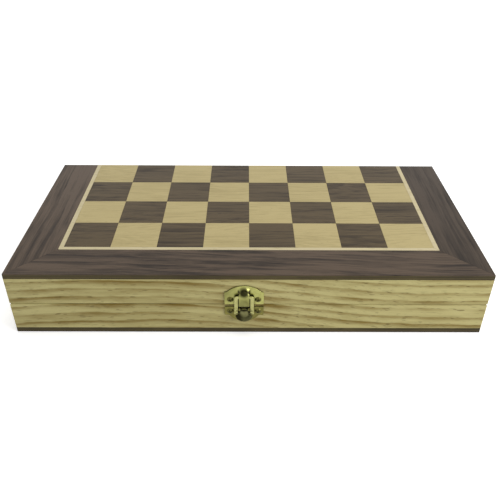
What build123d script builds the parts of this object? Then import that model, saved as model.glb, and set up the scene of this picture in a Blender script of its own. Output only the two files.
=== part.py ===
from build123d import *
from math import cos, sin, tau
import os

os.makedirs("parts", exist_ok=True)

# Folding chess case, closed, in millimetres. X runs along the front, Y from front to rear, Z up.
# The origin is the middle of the underside. The lid is the base turned over about Y.

# Board: each half carries half of the squares on its outer face
square = 30.0
squares_across = 8
squares_deep = 4
inlay_width = 3.0
border_width = 27.0
veneer_thickness = 0.6
veneer_joint = 0.1

# Case halves; each is as deep as a man lying in its pocket needs
parting_gap = 0.2
wall_thickness = 8.0
core_thickness = 3.0
parting_chamfer = 0.6
steel_thickness = 0.4
steel_inset = 6.0
steel_clearance = 0.5

# Insert with a pocket for each man
insert_clearance = 0.3
insert_recess = 1.0
insert_floor = 1.2
pocket_side_rim = 5.7
pocket_foot_rim = 4.0
pocket_side_clearance = 0.4
pocket_end_clearance = 1.0
pocket_floor_clearance = 0.2
man_below_insert_top = 0.5
trough_depth = 9.0
trough_overlap = 4.0
trough_end_rib = 12.0

# Small round pieces are drawn with flats: men and magnets, screw heads and pins, screw shanks
man_sides = 8
head_sides = 12
shank_sides = 8
lip_sides = 24

# Men: turned bodies with a disc magnet under the base
man_base_radius = 8.2
pawn_base_radius = 7.0
magnet_thickness = 1.6
magnet_edge = 1.2
base_rim = 3.0
pawn_height = 30.0
rook_height = 34.0
knight_height = 38.0
bishop_height = 42.0
queen_height = 48.0
king_height = 52.0

# Butt hinges let into the rear edges
hinge_spacing = 190.0
hinge_length = 25.0
hinge_leaf_thickness = 0.9
hinge_leaf_depth = 7.0
hinge_barrel_radius = 1.8
hinge_pin_radius = 0.8
hinge_axis_outset = 0.1
knuckle_length = 8.2
knuckle_gap = 0.2
hinge_wood_clearance = 0.15
barrel_clearance = 0.3
fixed_clearance = 0.02
running_clearance = 0.05
hinge_screw_spacing = 15.0
hinge_screw_inset = 4.2
hinge_screw_radius = 0.8
hinge_screw_head_radius = 1.7
hinge_screw_length = 8.0

# Latch plates on the front; w is the distance out from the front face, z the height above the parting
latch_x = -3.2
latch_sheet = 0.8
plate_width = 24.6
base_plate_top = -1.2
base_plate_ear_bottom = -8.0
base_plate_bottom = -13.0
base_plate_arc_width = 18.5
base_screw_spacing = 17.5
base_screw_z = -4.6
strike_bottom = 0.7
strike_ear_top = 10.3
strike_top = 15.0
strike_arc_width = 21.6
strike_screw_spacing = 17.4
strike_screw_z = 4.6
latch_screw_radius = 0.9
latch_screw_head_radius = 2.05
latch_screw_head_rim = 0.4
latch_screw_head_height = 0.9
latch_screw_crown_radius = 1.2
latch_screw_length = 6.0
screw_slot_width = 0.6
screw_slot_depth = 0.4

# Hook on the strike plate; its round tip leans back towards the case
hook_width = 6.6
hook_face_w = 4.4
hook_ledge_z = 6.1
hook_tip_z = 12.2
hook_tip_lean = 0.9
window_width = 7.2
window_top_z = 13.5
hook_fillet = 0.8

# Lever and loop: the lever turns on the lugs, the loop turns on the lever
lever_pin_w = 2.6
lever_pin_z = -1.8
loop_pin_w = 2.2
loop_pin_z = -4.8
latch_pin_radius = 0.6
lever_inner_width = 3.4
lever_width = 5.0
lever_top_z = -1.5
lever_eye_radius = 1.3
lever_foot_radius = 1.0
lever_web_w = 3.3
lip_radius = 5.35
lip_centre_z = -4.7
lip_flare = 0.8
lip_top_z = -5.1
lip_neck_top_z = -3.6
lip_arm_clearance = 0.15
lug_gap = 0.1
lug_foot_height = 2.4
loop_inner_width = 7.5
loop_arm_width = 2.4
loop_thickness = 1.0
loop_eye_radius = 1.1
crossbar_height = 1.8
crossbar_clearance = 0.2
loop_corner_radius = 1.5

# Sizes that follow
case_length = squares_across * square + 2 * (inlay_width + border_width)
case_depth = squares_deep * square + inlay_width + border_width
front = -case_depth / 2
rear = case_depth / 2
panel_thickness = core_thickness + veneer_thickness
man_axis_height = panel_thickness + insert_floor + pocket_floor_clearance + man_base_radius
insert_top = man_axis_height + man_base_radius + man_below_insert_top
half_height = insert_top + insert_recess
case_height = 2 * half_height + parting_gap
parting_z = case_height / 2
hinge_y = rear + hinge_axis_outset
insert_width = case_length - 2 * (wall_thickness + insert_clearance)
insert_depth = case_depth - 2 * (wall_thickness + insert_clearance)
pocket_pitch = (insert_width - 2 * pocket_side_rim) / squares_across
tallest_officer = max(rook_height, knight_height, bishop_height, queen_height, king_height)
trough_front = -insert_depth / 2 + pocket_foot_rim + pawn_height + 2 * pocket_end_clearance
trough_rear = insert_depth / 2 - pocket_foot_rim - tallest_officer - 2 * pocket_end_clearance
halves = ("base", "lid")


def level(half, height):
    """Plane at a height above a half's outer face, facing into the case, with the front at the front."""
    if half == "base":
        return Plane.XY.offset(height)
    return Plane(origin=(0, 0, case_height - height), x_dir=(-1, 0, 0), z_dir=(0, 0, -1))


def front_plane(w):
    """Plane at a distance out from the front face, facing outward, with the latch's middle as origin."""
    return Plane(origin=(latch_x, front - w, parting_z), x_dir=(1, 0, 0), z_dir=(0, -1, 0))


def side_plane(x):
    """Plane across the latch: its first axis runs outward from the front face, its second up."""
    return Plane(origin=(latch_x + x, front, parting_z), x_dir=(0, -1, 0), z_dir=(-1, 0, 0))


def strip_outline(side, inset, width):
    """Corners of one strip of a mitred frame that lies inset from the case's edge."""
    x_out = case_length / 2 - inset
    x_in = x_out - width
    y_out = front + inset
    y_in = y_out + width
    if side == "front":
        return [(-x_out, y_out), (x_out, y_out), (x_in, y_in), (-x_in, y_in)]
    sign = -1 if side == "left" else 1
    return [(sign * x_out, y_out), (sign * x_in, y_in), (sign * x_in, rear), (sign * x_out, rear)]


def wall_outline(side):
    """Corners of one wall, mitred at both ends."""
    x_out, y_out = case_length / 2, case_depth / 2
    x_in, y_in = x_out - wall_thickness, y_out - wall_thickness
    if side in ("front", "rear"):
        sign = -1 if side == "front" else 1
        return [(-x_out, sign * y_out), (x_out, sign * y_out), (x_in, sign * y_in), (-x_in, sign * y_in)]
    sign = -1 if side == "left" else 1
    return [(sign * x_out, -y_out), (sign * x_in, -y_in), (sign * x_in, y_in), (sign * x_out, y_out)]


def turned(side, half):
    """The side's name as the half's own plane sees it, where the lid's left and right change places."""
    return {"left": "right", "right": "left"}.get(side, side) if half == "lid" else side


def rings(outline, sides):
    """Corners of level polygons, one for each (radius, height) of an outline."""
    return [
        (radius * cos(tau * i / sides), radius * sin(tau * i / sides), height)
        for radius, height in outline
        for i in range(sides)
    ]


# Case walls
def make_wall(half, side):
    with BuildPart() as wall:
        with BuildSketch(level(half, panel_thickness)):
            with BuildLine():
                Polyline(*wall_outline(turned(side, half)), close=True)
            make_face()
        extrude(amount=half_height - panel_thickness)
        parting_edges = wall.edges().group_by(Axis.Z)[-1 if half == "base" else 0]
        across = {"front": Axis.Y, "left": Axis.X, "right": Axis.X}
        if side in across:
            outer = parting_edges.sort_by(across[side])[-1 if side == "right" else 0]
            chamfer(outer, length=parting_chamfer)
        if side == "front":
            screw_z = base_screw_z if half == "base" else strike_screw_z
            spacing = base_screw_spacing if half == "base" else strike_screw_spacing
            with BuildSketch(front_plane(0)):
                with Locations((-spacing / 2, screw_z), (spacing / 2, screw_z)):
                    RegularPolygon(latch_screw_radius + fixed_clearance, shank_sides)
            extrude(amount=-latch_screw_length, mode=Mode.SUBTRACT)
        if side == "rear":
            with BuildSketch(level(half, half_height)):
                with Locations(*[(x, rear) for x in (-hinge_spacing / 2, hinge_spacing / 2)]):
                    Rectangle(
                        hinge_length + 2 * hinge_wood_clearance,
                        2 * (hinge_leaf_depth + hinge_wood_clearance),
                    )
            extrude(amount=-hinge_leaf_thickness, mode=Mode.SUBTRACT)
            for x in (-hinge_spacing / 2, hinge_spacing / 2):
                with BuildSketch(Plane.YZ.offset(x)):
                    with Locations((hinge_y, parting_z)):
                        Circle(hinge_barrel_radius + barrel_clearance)
                extrude(
                    amount=hinge_length / 2 + hinge_wood_clearance, both=True, mode=Mode.SUBTRACT
                )
            with BuildSketch(level(half, half_height)):
                with Locations(*hinge_screw_places()):
                    RegularPolygon(hinge_screw_radius + fixed_clearance, shank_sides)
            extrude(amount=-hinge_screw_length, mode=Mode.SUBTRACT)
    wall.part.label = f"{half}_{side}_wall"
    export_step(wall.part, f"parts/{half}_{side}_wall.step")


def hinge_screw_places():
    """Middles of the hinge screws in a half's own plane."""
    xs = [h + s for h in (-hinge_spacing / 2, hinge_spacing / 2)
          for s in (-hinge_screw_spacing / 2, hinge_screw_spacing / 2)]
    return [(x, rear - hinge_screw_inset) for x in xs]


# Panel: core with a shallow recess for the steel sheet, under the veneer
def make_panel(half):
    with BuildPart() as core:
        with BuildSketch(level(half, veneer_thickness)):
            Rectangle(case_length, case_depth)
        extrude(amount=core_thickness)
        with BuildSketch(level(half, veneer_thickness)):
            Rectangle(case_length - 2 * steel_inset, case_depth - 2 * steel_inset)
        extrude(amount=steel_thickness, mode=Mode.SUBTRACT)
    core.part.label = f"{half}_panel_core"
    export_step(core.part, f"parts/{half}_panel_core.step")

    with BuildPart() as steel:
        with BuildSketch(level(half, veneer_thickness)):
            inset = steel_inset + steel_clearance
            Rectangle(case_length - 2 * inset, case_depth - 2 * inset)
        extrude(amount=steel_thickness)
    steel.part.label = f"{half}_steel_sheet"
    export_step(steel.part, f"parts/{half}_steel_sheet.step")


# Veneer: squares, inlay line and mitred border, flush with each other
def make_squares(half, shade):
    first = front + border_width + inlay_width + square / 2
    dark_parity = 0 if half == "lid" else 1
    parity = dark_parity if shade == "dark" else 1 - dark_parity
    flip = -1 if half == "lid" else 1
    places = [
        (flip * (column - (squares_across - 1) / 2) * square, first + row * square)
        for column in range(squares_across)
        for row in range(squares_deep)
        if (column + row) % 2 == parity
    ]
    with BuildPart() as squares:
        with BuildSketch(level(half, 0)):
            with Locations(*places):
                Rectangle(square - veneer_joint, square - veneer_joint)
        extrude(amount=veneer_thickness)
    squares.part.label = f"{half}_{shade}_squares"
    export_step(squares.part, f"parts/{half}_{shade}_squares.step")


def make_border(half):
    for side in ("front", "left", "right"):
        with BuildPart() as border:
            with BuildSketch(level(half, 0)):
                with BuildLine():
                    Polyline(*strip_outline(turned(side, half), 0, border_width), close=True)
                make_face()
                offset(amount=-veneer_joint / 2, kind=Kind.INTERSECTION)
            extrude(amount=veneer_thickness)
        border.part.label = f"{half}_border_{side}"
        export_step(border.part, f"parts/{half}_border_{side}.step")

    with BuildPart() as line:
        for side in ("front", "left", "right"):
            with BuildSketch(level(half, 0)):
                with BuildLine():
                    Polyline(*strip_outline(side, border_width, inlay_width), close=True)
                make_face()
                offset(amount=-veneer_joint / 2, kind=Kind.INTERSECTION)
            extrude(amount=veneer_thickness)
    line.part.label = f"{half}_inlay_line"
    export_step(line.part, f"parts/{half}_inlay_line.step")


# Men, each made standing on its magnet at the origin
def turned_body(height, foot_radius, stem):
    """A foot and the stem above it, whose points are (radius, share of the man's height).

    The body is what is common to one silhouette seen from all sides.
    """
    foot = [(foot_radius, magnet_thickness), (foot_radius, magnet_thickness + base_rim)]
    points = foot + [(radius, share * height) for radius, share in stem]
    with BuildPart() as body:
        for step in range(man_sides // 2):
            with BuildSketch(Plane.XZ.rotated((0, 0, step * 360 / man_sides))):
                with BuildLine():
                    Polyline((0, magnet_thickness), *points, (0, points[-1][1]), close=True)
                make_face()
                mirror(about=Plane.YZ)
            extrude(
                amount=2 * man_base_radius,
                both=True,
                mode=Mode.ADD if step == 0 else Mode.INTERSECT,
            )
    return body.part


def pawn():
    neck = [(2.9, 0.54), (4.6, 0.587), (2.9, 0.633)]
    ball = [(4.7, 0.753), (4.2, 0.893), (1.7, 1.0)]
    return turned_body(pawn_height, pawn_base_radius, neck + ball)


def rook():
    crown_radius = 6.4
    crown_wall = 2.2
    well_depth = 4.0
    gap = 2.4
    stem = [(4.7, 0.647), (crown_radius, 0.724), (crown_radius, 1.0)]
    with BuildPart() as piece:
        add(turned_body(rook_height, man_base_radius, stem))
        with BuildSketch(Plane.XY.offset(rook_height)):
            RegularPolygon(crown_radius - crown_wall, man_sides)
        extrude(amount=-well_depth, mode=Mode.SUBTRACT)
        with BuildSketch(Plane.XY.offset(rook_height)):
            Rectangle(2 * man_base_radius, gap)
            Rectangle(gap, 2 * man_base_radius)
        extrude(amount=-gap, mode=Mode.SUBTRACT)
    return piece.part


def knight():
    head_thickness = 7.0
    chest = [(5.2, 0.237), (4.4, 0.474), (0.6, 0.642)]
    muzzle = [(6.6, 0.632), (7.4, 0.716), (2.4, 0.895)]
    mane = [(1.6, 1.0), (-1.8, 0.921), (-5.4, 0.763), (-6.4, 0.5), (-5.2, 0.237)]
    with BuildPart() as piece:
        add(turned_body(knight_height, man_base_radius, [(6.0, 0.263)]))
        with BuildSketch(Plane.XZ):
            with BuildLine():
                Polyline(*[(x, share * knight_height) for x, share in chest + muzzle + mane], close=True)
            make_face()
        extrude(amount=head_thickness / 2, both=True)
    return piece.part


def bishop():
    slit_width = 1.0
    slit_length = 5.0
    slit_turn = 60
    neck = [(3.2, 0.581), (5.4, 0.619), (3.2, 0.657)]
    mitre = [(4.9, 0.771), (1.5, 0.952), (1.5, 1.0)]
    with BuildPart() as piece:
        add(turned_body(bishop_height, man_base_radius, neck + mitre))
        with BuildSketch(Plane.XZ):
            with Locations((4.2, 0.857 * bishop_height)):
                Rectangle(slit_length, slit_width, rotation=slit_turn)
        extrude(amount=2 * man_base_radius, both=True, mode=Mode.SUBTRACT)
    return piece.part


def queen():
    neck = [(3.4, 0.6), (5.6, 0.638), (3.4, 0.675)]
    crown = [(5.8, 0.883), (3.2, 0.913), (1.5, 0.942), (1.5, 1.0)]
    return turned_body(queen_height, man_base_radius, neck + crown)


def king():
    arm = 1.8
    cross_width = 5.2
    cross_drop = 2.6
    crown_top = 0.881 * king_height
    neck = [(3.6, 0.577), (5.8, 0.615), (3.6, 0.65)]
    crown = [(5.6, 0.842), (2.0, 0.881)]
    with BuildPart() as piece:
        add(turned_body(king_height, man_base_radius, neck + crown))
        with BuildSketch(Plane.XZ):
            with Locations((0, crown_top - arm / 2)):
                Rectangle(arm, king_height - crown_top + arm / 2, align=(Align.CENTER, Align.MIN))
            with Locations((0, king_height - cross_drop)):
                Rectangle(cross_width, arm)
        extrude(amount=arm / 2, both=True)
    return piece.part


# Each kind: maker, height, base radius, and its pockets by column from the left
kinds = {
    "pawns": (pawn, pawn_height, pawn_base_radius, range(squares_across)),
    "rooks": (rook, rook_height, man_base_radius, (0, 7)),
    "knights": (knight, knight_height, man_base_radius, (1, 6)),
    "bishops": (bishop, bishop_height, man_base_radius, (2, 5)),
    "queen": (queen, queen_height, man_base_radius, (3,)),
    "king": (king, king_height, man_base_radius, (4,)),
}


def column_x(column):
    """Middle of a column of pockets in a half's own plane."""
    return (column - (squares_across - 1) / 2) * pocket_pitch


def lying_places(half, kind):
    """Where a kind's men lie in a half: foot ends outward, heads at the trough."""
    _, height, _, columns = kinds[kind]
    toward = 1 if kind == "pawns" else -1
    head_y = trough_front - pocket_end_clearance if kind == "pawns" else trough_rear + pocket_end_clearance
    foot_y = head_y - toward * height
    tray = level(half, man_axis_height)
    places = []
    for column in columns:
        foot = tray.from_local_coords((column_x(column), foot_y, 0))
        places.append(Plane(origin=foot, x_dir=tray.z_dir, z_dir=(0, toward, 0)).location)
    return places


def make_men(half, shade):
    for kind, (maker, _, _, _) in kinds.items():
        man = maker()
        with BuildPart() as men:
            with Locations(*lying_places(half, kind)):
                add(man)
        men.part.label = f"{shade}_{kind}"
        export_step(men.part, f"parts/{shade}_{kind}.step")

    with BuildPart() as magnets:
        for kind, (_, _, radius, _) in kinds.items():
            for place in lying_places(half, kind):
                with BuildSketch(Plane(place)):
                    RegularPolygon(radius - magnet_edge, man_sides)
                extrude(amount=magnet_thickness)
    magnets.part.label = f"{shade}_men_magnets"
    export_step(magnets.part, f"parts/{shade}_men_magnets.step")


# Insert: a slab with a pocket for each man and a trough for the fingers between the two rows
def make_insert(half):
    with BuildPart() as insert:
        with BuildSketch(level(half, panel_thickness)):
            Rectangle(insert_width, insert_depth)
        extrude(amount=insert_top - panel_thickness)
        for kind, (_, height, radius, columns) in kinds.items():
            length = height + 2 * pocket_end_clearance
            middle = trough_front - length / 2 if kind == "pawns" else trough_rear + length / 2
            with BuildSketch(level(half, insert_top)):
                with Locations(*[(column_x(column), middle) for column in columns]):
                    Rectangle(2 * (radius + pocket_side_clearance), length)
            floor = man_axis_height - radius - pocket_floor_clearance
            extrude(amount=floor - insert_top, mode=Mode.SUBTRACT)
        with BuildSketch(level(half, insert_top)):
            with Locations((0, (trough_front + trough_rear) / 2)):
                Rectangle(
                    insert_width - 2 * trough_end_rib, trough_rear - trough_front + 2 * trough_overlap
                )
        extrude(amount=-trough_depth, mode=Mode.SUBTRACT)
    insert.part.label = f"{half}_insert"
    export_step(insert.part, f"parts/{half}_insert.step")


def countersink(clearance):
    """Outline of a countersunk hinge screw head, with a clearance round it for its seat."""
    return (
        (hinge_screw_head_radius + clearance, 0),
        (hinge_screw_radius + clearance, -hinge_leaf_thickness),
    )


# Hinges: the base has the outer knuckles and holds the pin, the lid has the middle knuckle
def make_hinge_leaves(half):
    bore = hinge_pin_radius + (fixed_clearance if half == "base" else running_clearance)
    end = (knuckle_length + 2 * knuckle_gap) / 2
    outer_length = hinge_length / 2 - end
    outer_middle = end + outer_length / 2
    own = [0] if half == "lid" else [-outer_middle, outer_middle]
    own_length = knuckle_length if half == "lid" else outer_length
    other = [-outer_middle, outer_middle] if half == "lid" else [0]
    other_length = outer_length + 2 * knuckle_gap if half == "lid" else knuckle_length + 2 * knuckle_gap
    with BuildPart() as leaves:
        for x in (-hinge_spacing / 2, hinge_spacing / 2):
            with BuildSketch(level(half, half_height)):
                with Locations((x, hinge_y)):
                    Rectangle(
                        hinge_length,
                        hinge_leaf_depth + hinge_axis_outset,
                        align=(Align.CENTER, Align.MAX),
                    )
            extrude(amount=-hinge_leaf_thickness)
            with BuildSketch(level(half, half_height)):
                with Locations(*[(x + m, hinge_y) for m in other]):
                    Rectangle(other_length, 2 * (hinge_barrel_radius + barrel_clearance))
            extrude(amount=-hinge_leaf_thickness, mode=Mode.SUBTRACT)
        for x in [h + m for h in (-hinge_spacing / 2, hinge_spacing / 2) for m in own]:
            with BuildSketch(Plane.YZ.offset(x)):
                with Locations((hinge_y, parting_z)):
                    RegularPolygon(hinge_barrel_radius, head_sides)
            extrude(amount=own_length / 2, both=True)
        with BuildSketch(Plane.YZ):
            with Locations((hinge_y, parting_z)):
                RegularPolygon(bore, head_sides, major_radius=False)
        extrude(amount=case_length / 2, both=True, mode=Mode.SUBTRACT)
        for x, y in hinge_screw_places():
            with Locations(level(half, half_height).location * Location((x, y, 0))):
                ConvexPolyhedron(
                    rings(countersink(running_clearance), shank_sides),
                    align=Align.NONE,
                    mode=Mode.SUBTRACT,
                )
    leaves.part.label = f"{half}_hinge_leaves"
    export_step(leaves.part, f"parts/{half}_hinge_leaves.step")


def make_hinge_screws(half):
    with BuildPart() as screws:
        for x, y in hinge_screw_places():
            seat = Plane(level(half, half_height).location * Location((x, y, 0)))
            with BuildSketch(seat):
                RegularPolygon(hinge_screw_radius, shank_sides)
            extrude(amount=-hinge_screw_length)
            with Locations(seat.location):
                ConvexPolyhedron(rings(countersink(0), shank_sides), align=Align.NONE)
            with BuildSketch(seat):
                Rectangle(2 * hinge_screw_head_radius, screw_slot_width)
            extrude(amount=-screw_slot_depth, mode=Mode.SUBTRACT)
    screws.part.label = f"{half}_hinge_screws"
    export_step(screws.part, f"parts/{half}_hinge_screws.step")


def make_hinge_pins():
    with BuildPart() as pins:
        for x in (-hinge_spacing / 2, hinge_spacing / 2):
            with BuildSketch(Plane.YZ.offset(x)):
                with Locations((hinge_y, parting_z)):
                    RegularPolygon(hinge_pin_radius, head_sides)
            extrude(amount=hinge_length / 2, both=True)
    pins.part.label = "hinge_pins"
    export_step(pins.part, "parts/hinge_pins.step")


# Latch: base plate with two lugs bent out of its upper edge
def make_latch_base_plate():
    half_width = plate_width / 2
    half_arc = base_plate_arc_width / 2
    lug_inner = lever_width / 2 + lug_gap
    with BuildPart() as plate:
        with BuildSketch(front_plane(0)):
            with BuildLine():
                Polyline(
                    (half_arc, base_plate_ear_bottom),
                    (half_width, base_plate_ear_bottom),
                    (half_width, base_plate_top),
                    (-half_width, base_plate_top),
                    (-half_width, base_plate_ear_bottom),
                    (-half_arc, base_plate_ear_bottom),
                )
                ThreePointArc(
                    (-half_arc, base_plate_ear_bottom),
                    (0, base_plate_bottom),
                    (half_arc, base_plate_ear_bottom),
                )
            make_face()
            with Locations((0, base_plate_top)):
                Rectangle(
                    2 * lug_inner,
                    lug_foot_height,
                    align=(Align.CENTER, Align.MAX),
                    mode=Mode.SUBTRACT,
                )
            with Locations(
                (-base_screw_spacing / 2, base_screw_z), (base_screw_spacing / 2, base_screw_z)
            ):
                RegularPolygon(
                    latch_screw_radius + running_clearance, shank_sides, mode=Mode.SUBTRACT
                )
        extrude(amount=latch_sheet)
        for x in (lug_inner + latch_sheet, -lug_inner):
            with BuildSketch(side_plane(x)):
                with Locations((lever_pin_w, lever_pin_z)):
                    Circle(lever_eye_radius)
                with Locations((latch_sheet / 2, base_plate_top)):
                    Rectangle(latch_sheet, lug_foot_height, align=(Align.CENTER, Align.MAX))
                make_hull()
            extrude(amount=latch_sheet)
        with BuildSketch(side_plane(0)):
            with Locations((lever_pin_w, lever_pin_z)):
                RegularPolygon(latch_pin_radius + fixed_clearance, head_sides)
        extrude(amount=plate_width, both=True, mode=Mode.SUBTRACT)
    plate.part.label = "latch_base_plate"
    export_step(plate.part, "parts/latch_base_plate.step")


# Latch: strike plate with an arched top, a pressed nose and a hook lanced out of a domed window
def make_strike_plate():
    half_width = plate_width / 2
    half_arc = strike_arc_width / 2
    nose_width = hook_width - 2 * latch_sheet
    dome_radius = hook_width / 2
    bend_z = hook_tip_z - dome_radius
    hook_back_w = hook_face_w - latch_sheet
    window_radius = window_width / 2
    with BuildPart() as hook:
        with BuildSketch(side_plane(0)):
            with BuildLine():
                Polyline(
                    (hook_back_w, hook_ledge_z - latch_sheet),
                    (hook_face_w, hook_ledge_z - latch_sheet),
                    (hook_face_w, bend_z),
                    (hook_face_w - hook_tip_lean, hook_tip_z),
                    (hook_back_w - hook_tip_lean, hook_tip_z),
                    (hook_back_w, bend_z),
                    close=True,
                )
            make_face()
        extrude(amount=dome_radius, both=True)
        with BuildSketch(front_plane(0)):
            with Locations((0, bend_z)):
                Circle(dome_radius)
                Rectangle(hook_width, bend_z, align=(Align.CENTER, Align.MAX))
        extrude(amount=hook_face_w, mode=Mode.INTERSECT)

    with BuildPart() as plate:
        with BuildSketch(front_plane(0)):
            with BuildLine():
                Polyline(
                    (-half_arc, strike_ear_top),
                    (-half_width, strike_ear_top),
                    (-half_width, strike_bottom),
                    (half_width, strike_bottom),
                    (half_width, strike_ear_top),
                    (half_arc, strike_ear_top),
                )
                ThreePointArc((half_arc, strike_ear_top), (0, strike_top), (-half_arc, strike_ear_top))
            make_face()
            with Locations((0, window_top_z - window_radius)):
                Circle(window_radius, mode=Mode.SUBTRACT)
                Rectangle(
                    window_width,
                    window_top_z - window_radius - hook_ledge_z,
                    align=(Align.CENTER, Align.MAX),
                    mode=Mode.SUBTRACT,
                )
            with Locations(
                (-strike_screw_spacing / 2, strike_screw_z), (strike_screw_spacing / 2, strike_screw_z)
            ):
                RegularPolygon(
                    latch_screw_radius + running_clearance, shank_sides, mode=Mode.SUBTRACT
                )
        extrude(amount=latch_sheet)
        with BuildSketch(front_plane(0)):
            with Locations((0, strike_bottom)):
                Rectangle(hook_width, hook_ledge_z - strike_bottom, align=(Align.CENTER, Align.MIN))
        extrude(amount=hook_face_w)
        nose_foot = plate.edges().filter_by(Axis.X).group_by(Axis.Y)[0].sort_by(Axis.Z)[0]
        fillet(nose_foot, radius=hook_fillet)
        with BuildSketch(front_plane(0)):
            with Locations((0, strike_bottom + latch_sheet)):
                Rectangle(
                    nose_width,
                    hook_ledge_z - strike_bottom - 2 * latch_sheet,
                    align=(Align.CENTER, Align.MIN),
                )
        extrude(amount=hook_back_w, mode=Mode.SUBTRACT)
        add(hook.part)
    plate.part.label = "strike_plate"
    export_step(plate.part, "parts/strike_plate.step")


def make_latch_screws(name, spacing, z):
    with BuildPart() as screws:
        for x in (-spacing / 2, spacing / 2):
            seat = front_plane(latch_sheet)
            with BuildSketch(seat):
                with Locations((x, z)):
                    RegularPolygon(latch_screw_radius, shank_sides)
            extrude(amount=-latch_sheet - latch_screw_length)
            head = (
                (latch_screw_head_radius, 0),
                (latch_screw_head_radius, latch_screw_head_rim),
                (latch_screw_crown_radius, latch_screw_head_height),
            )
            with Locations(seat.location * Location((x, z, 0))):
                ConvexPolyhedron(rings(head, head_sides), align=Align.NONE)
            with BuildSketch(seat.offset(latch_screw_head_height)):
                with Locations((x, z)):
                    Rectangle(2 * latch_screw_head_radius, screw_slot_width)
            extrude(amount=-screw_slot_depth, mode=Mode.SUBTRACT)
    screws.part.label = name
    export_step(screws.part, f"parts/{name}.step")


# Latch: lever with two flanges, a flat pad and a dished finger lip
def make_lever():
    with BuildPart() as lever:
        with BuildSketch(front_plane(lever_web_w)):
            with Locations((0, lever_top_z)):
                Rectangle(lever_width, lever_top_z - lip_centre_z, align=(Align.CENTER, Align.MAX))
        extrude(amount=latch_sheet)
        dish_back = (lever_width / 2, 0), (lip_radius, lip_flare), (lip_radius, lip_flare + latch_sheet)
        dish_front = (lever_width / 2, latch_sheet), (lip_radius, lip_flare + latch_sheet)
        with Locations(front_plane(lever_web_w).location * Location((0, lip_centre_z, 0))):
            ConvexPolyhedron(rings(dish_back, lip_sides), align=Align.NONE)
            ConvexPolyhedron(rings(dish_front, lip_sides), align=Align.NONE, mode=Mode.SUBTRACT)
        neck_width = loop_inner_width - 2 * lip_arm_clearance
        with BuildSketch(front_plane(lever_web_w)):
            for width, bottom in ((neck_width, lip_top_z), (lever_width, lip_neck_top_z)):
                with Locations(*[(side * (width / 2 + lip_radius), bottom) for side in (-1, 1)]):
                    Rectangle(2 * lip_radius, 2 * lip_radius, align=(Align.CENTER, Align.MIN))
            with Locations((0, lever_top_z)):
                Rectangle(2 * lever_width, lip_radius, align=(Align.CENTER, Align.MIN))
        extrude(amount=lip_flare + 2 * latch_sheet, mode=Mode.SUBTRACT)
        with BuildSketch(front_plane(lever_web_w + latch_sheet)):
            with Locations((0, lip_centre_z)):
                Rectangle(lever_width, lip_radius, align=(Align.CENTER, Align.MIN))
        extrude(amount=lip_flare, mode=Mode.SUBTRACT)
        for x in (lever_width / 2, -lever_inner_width / 2):
            with BuildSketch(side_plane(x)):
                with Locations((lever_pin_w, lever_pin_z)):
                    Circle(lever_eye_radius)
                with Locations((loop_pin_w, loop_pin_z)):
                    Circle(lever_foot_radius)
                with Locations((lever_web_w, loop_pin_z)):
                    Rectangle(
                        latch_sheet / 2,
                        lever_top_z - loop_pin_z - latch_sheet,
                        align=(Align.MIN, Align.MIN),
                    )
                make_hull()
            extrude(amount=(lever_width - lever_inner_width) / 2)
        with BuildSketch(side_plane(0)):
            with Locations((lever_pin_w, lever_pin_z), (loop_pin_w, loop_pin_z)):
                RegularPolygon(latch_pin_radius + running_clearance, head_sides, major_radius=False)
        extrude(amount=plate_width, both=True, mode=Mode.SUBTRACT)
    lever.part.label = "latch_lever"
    export_step(lever.part, "parts/latch_lever.step")


# Latch: loop with two arms, a crossbar behind the hook, and an eye at the foot of each arm
def make_loop():
    outer = loop_inner_width / 2 + loop_arm_width
    crossbar_bottom = hook_ledge_z + crossbar_clearance
    loop_top = crossbar_bottom + crossbar_height
    with BuildPart() as loop:
        with BuildSketch(front_plane(loop_pin_w - loop_thickness / 2)):
            with Locations((0, loop_top)):
                Rectangle(2 * outer, loop_top - loop_pin_z, align=(Align.CENTER, Align.MAX))
            with Locations((0, crossbar_bottom)):
                Rectangle(
                    loop_inner_width,
                    crossbar_bottom - loop_pin_z,
                    align=(Align.CENTER, Align.MAX),
                    mode=Mode.SUBTRACT,
                )
        extrude(amount=loop_thickness)
        corners = loop.edges().filter_by(Axis.Y).group_by(Axis.Z)[-1]
        fillet(corners, radius=loop_corner_radius)
        for x in (outer, -loop_inner_width / 2):
            with BuildSketch(side_plane(x)):
                with Locations((loop_pin_w, loop_pin_z)):
                    Circle(loop_eye_radius)
            extrude(amount=loop_arm_width)
        with BuildSketch(side_plane(0)):
            with Locations((loop_pin_w, loop_pin_z)):
                RegularPolygon(latch_pin_radius + fixed_clearance, head_sides)
        extrude(amount=plate_width, both=True, mode=Mode.SUBTRACT)
    loop.part.label = "latch_loop"
    export_step(loop.part, "parts/latch_loop.step")


def make_latch_pin(name, w, z, length):
    with BuildPart() as pin:
        with BuildSketch(side_plane(0)):
            with Locations((w, z)):
                RegularPolygon(latch_pin_radius, head_sides)
        extrude(amount=length / 2, both=True)
    pin.part.label = name
    export_step(pin.part, f"parts/{name}.step")


for half in halves:
    for side in ("front", "rear", "left", "right"):
        make_wall(half, side)
    make_panel(half)
    make_squares(half, "dark")
    make_squares(half, "light")
    make_border(half)
    make_insert(half)
    make_hinge_leaves(half)
    make_hinge_screws(half)
make_men("base", "light")
make_men("lid", "dark")
make_hinge_pins()
make_latch_base_plate()
make_strike_plate()
make_latch_screws("latch_base_screws", base_screw_spacing, base_screw_z)
make_latch_screws("strike_plate_screws", strike_screw_spacing, strike_screw_z)
make_lever()
make_loop()
make_latch_pin("lever_pin", lever_pin_w, lever_pin_z, lever_width + 2 * (lug_gap + latch_sheet))
make_latch_pin("loop_pin", loop_pin_w, loop_pin_z, loop_inner_width + 2 * loop_arm_width)
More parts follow.
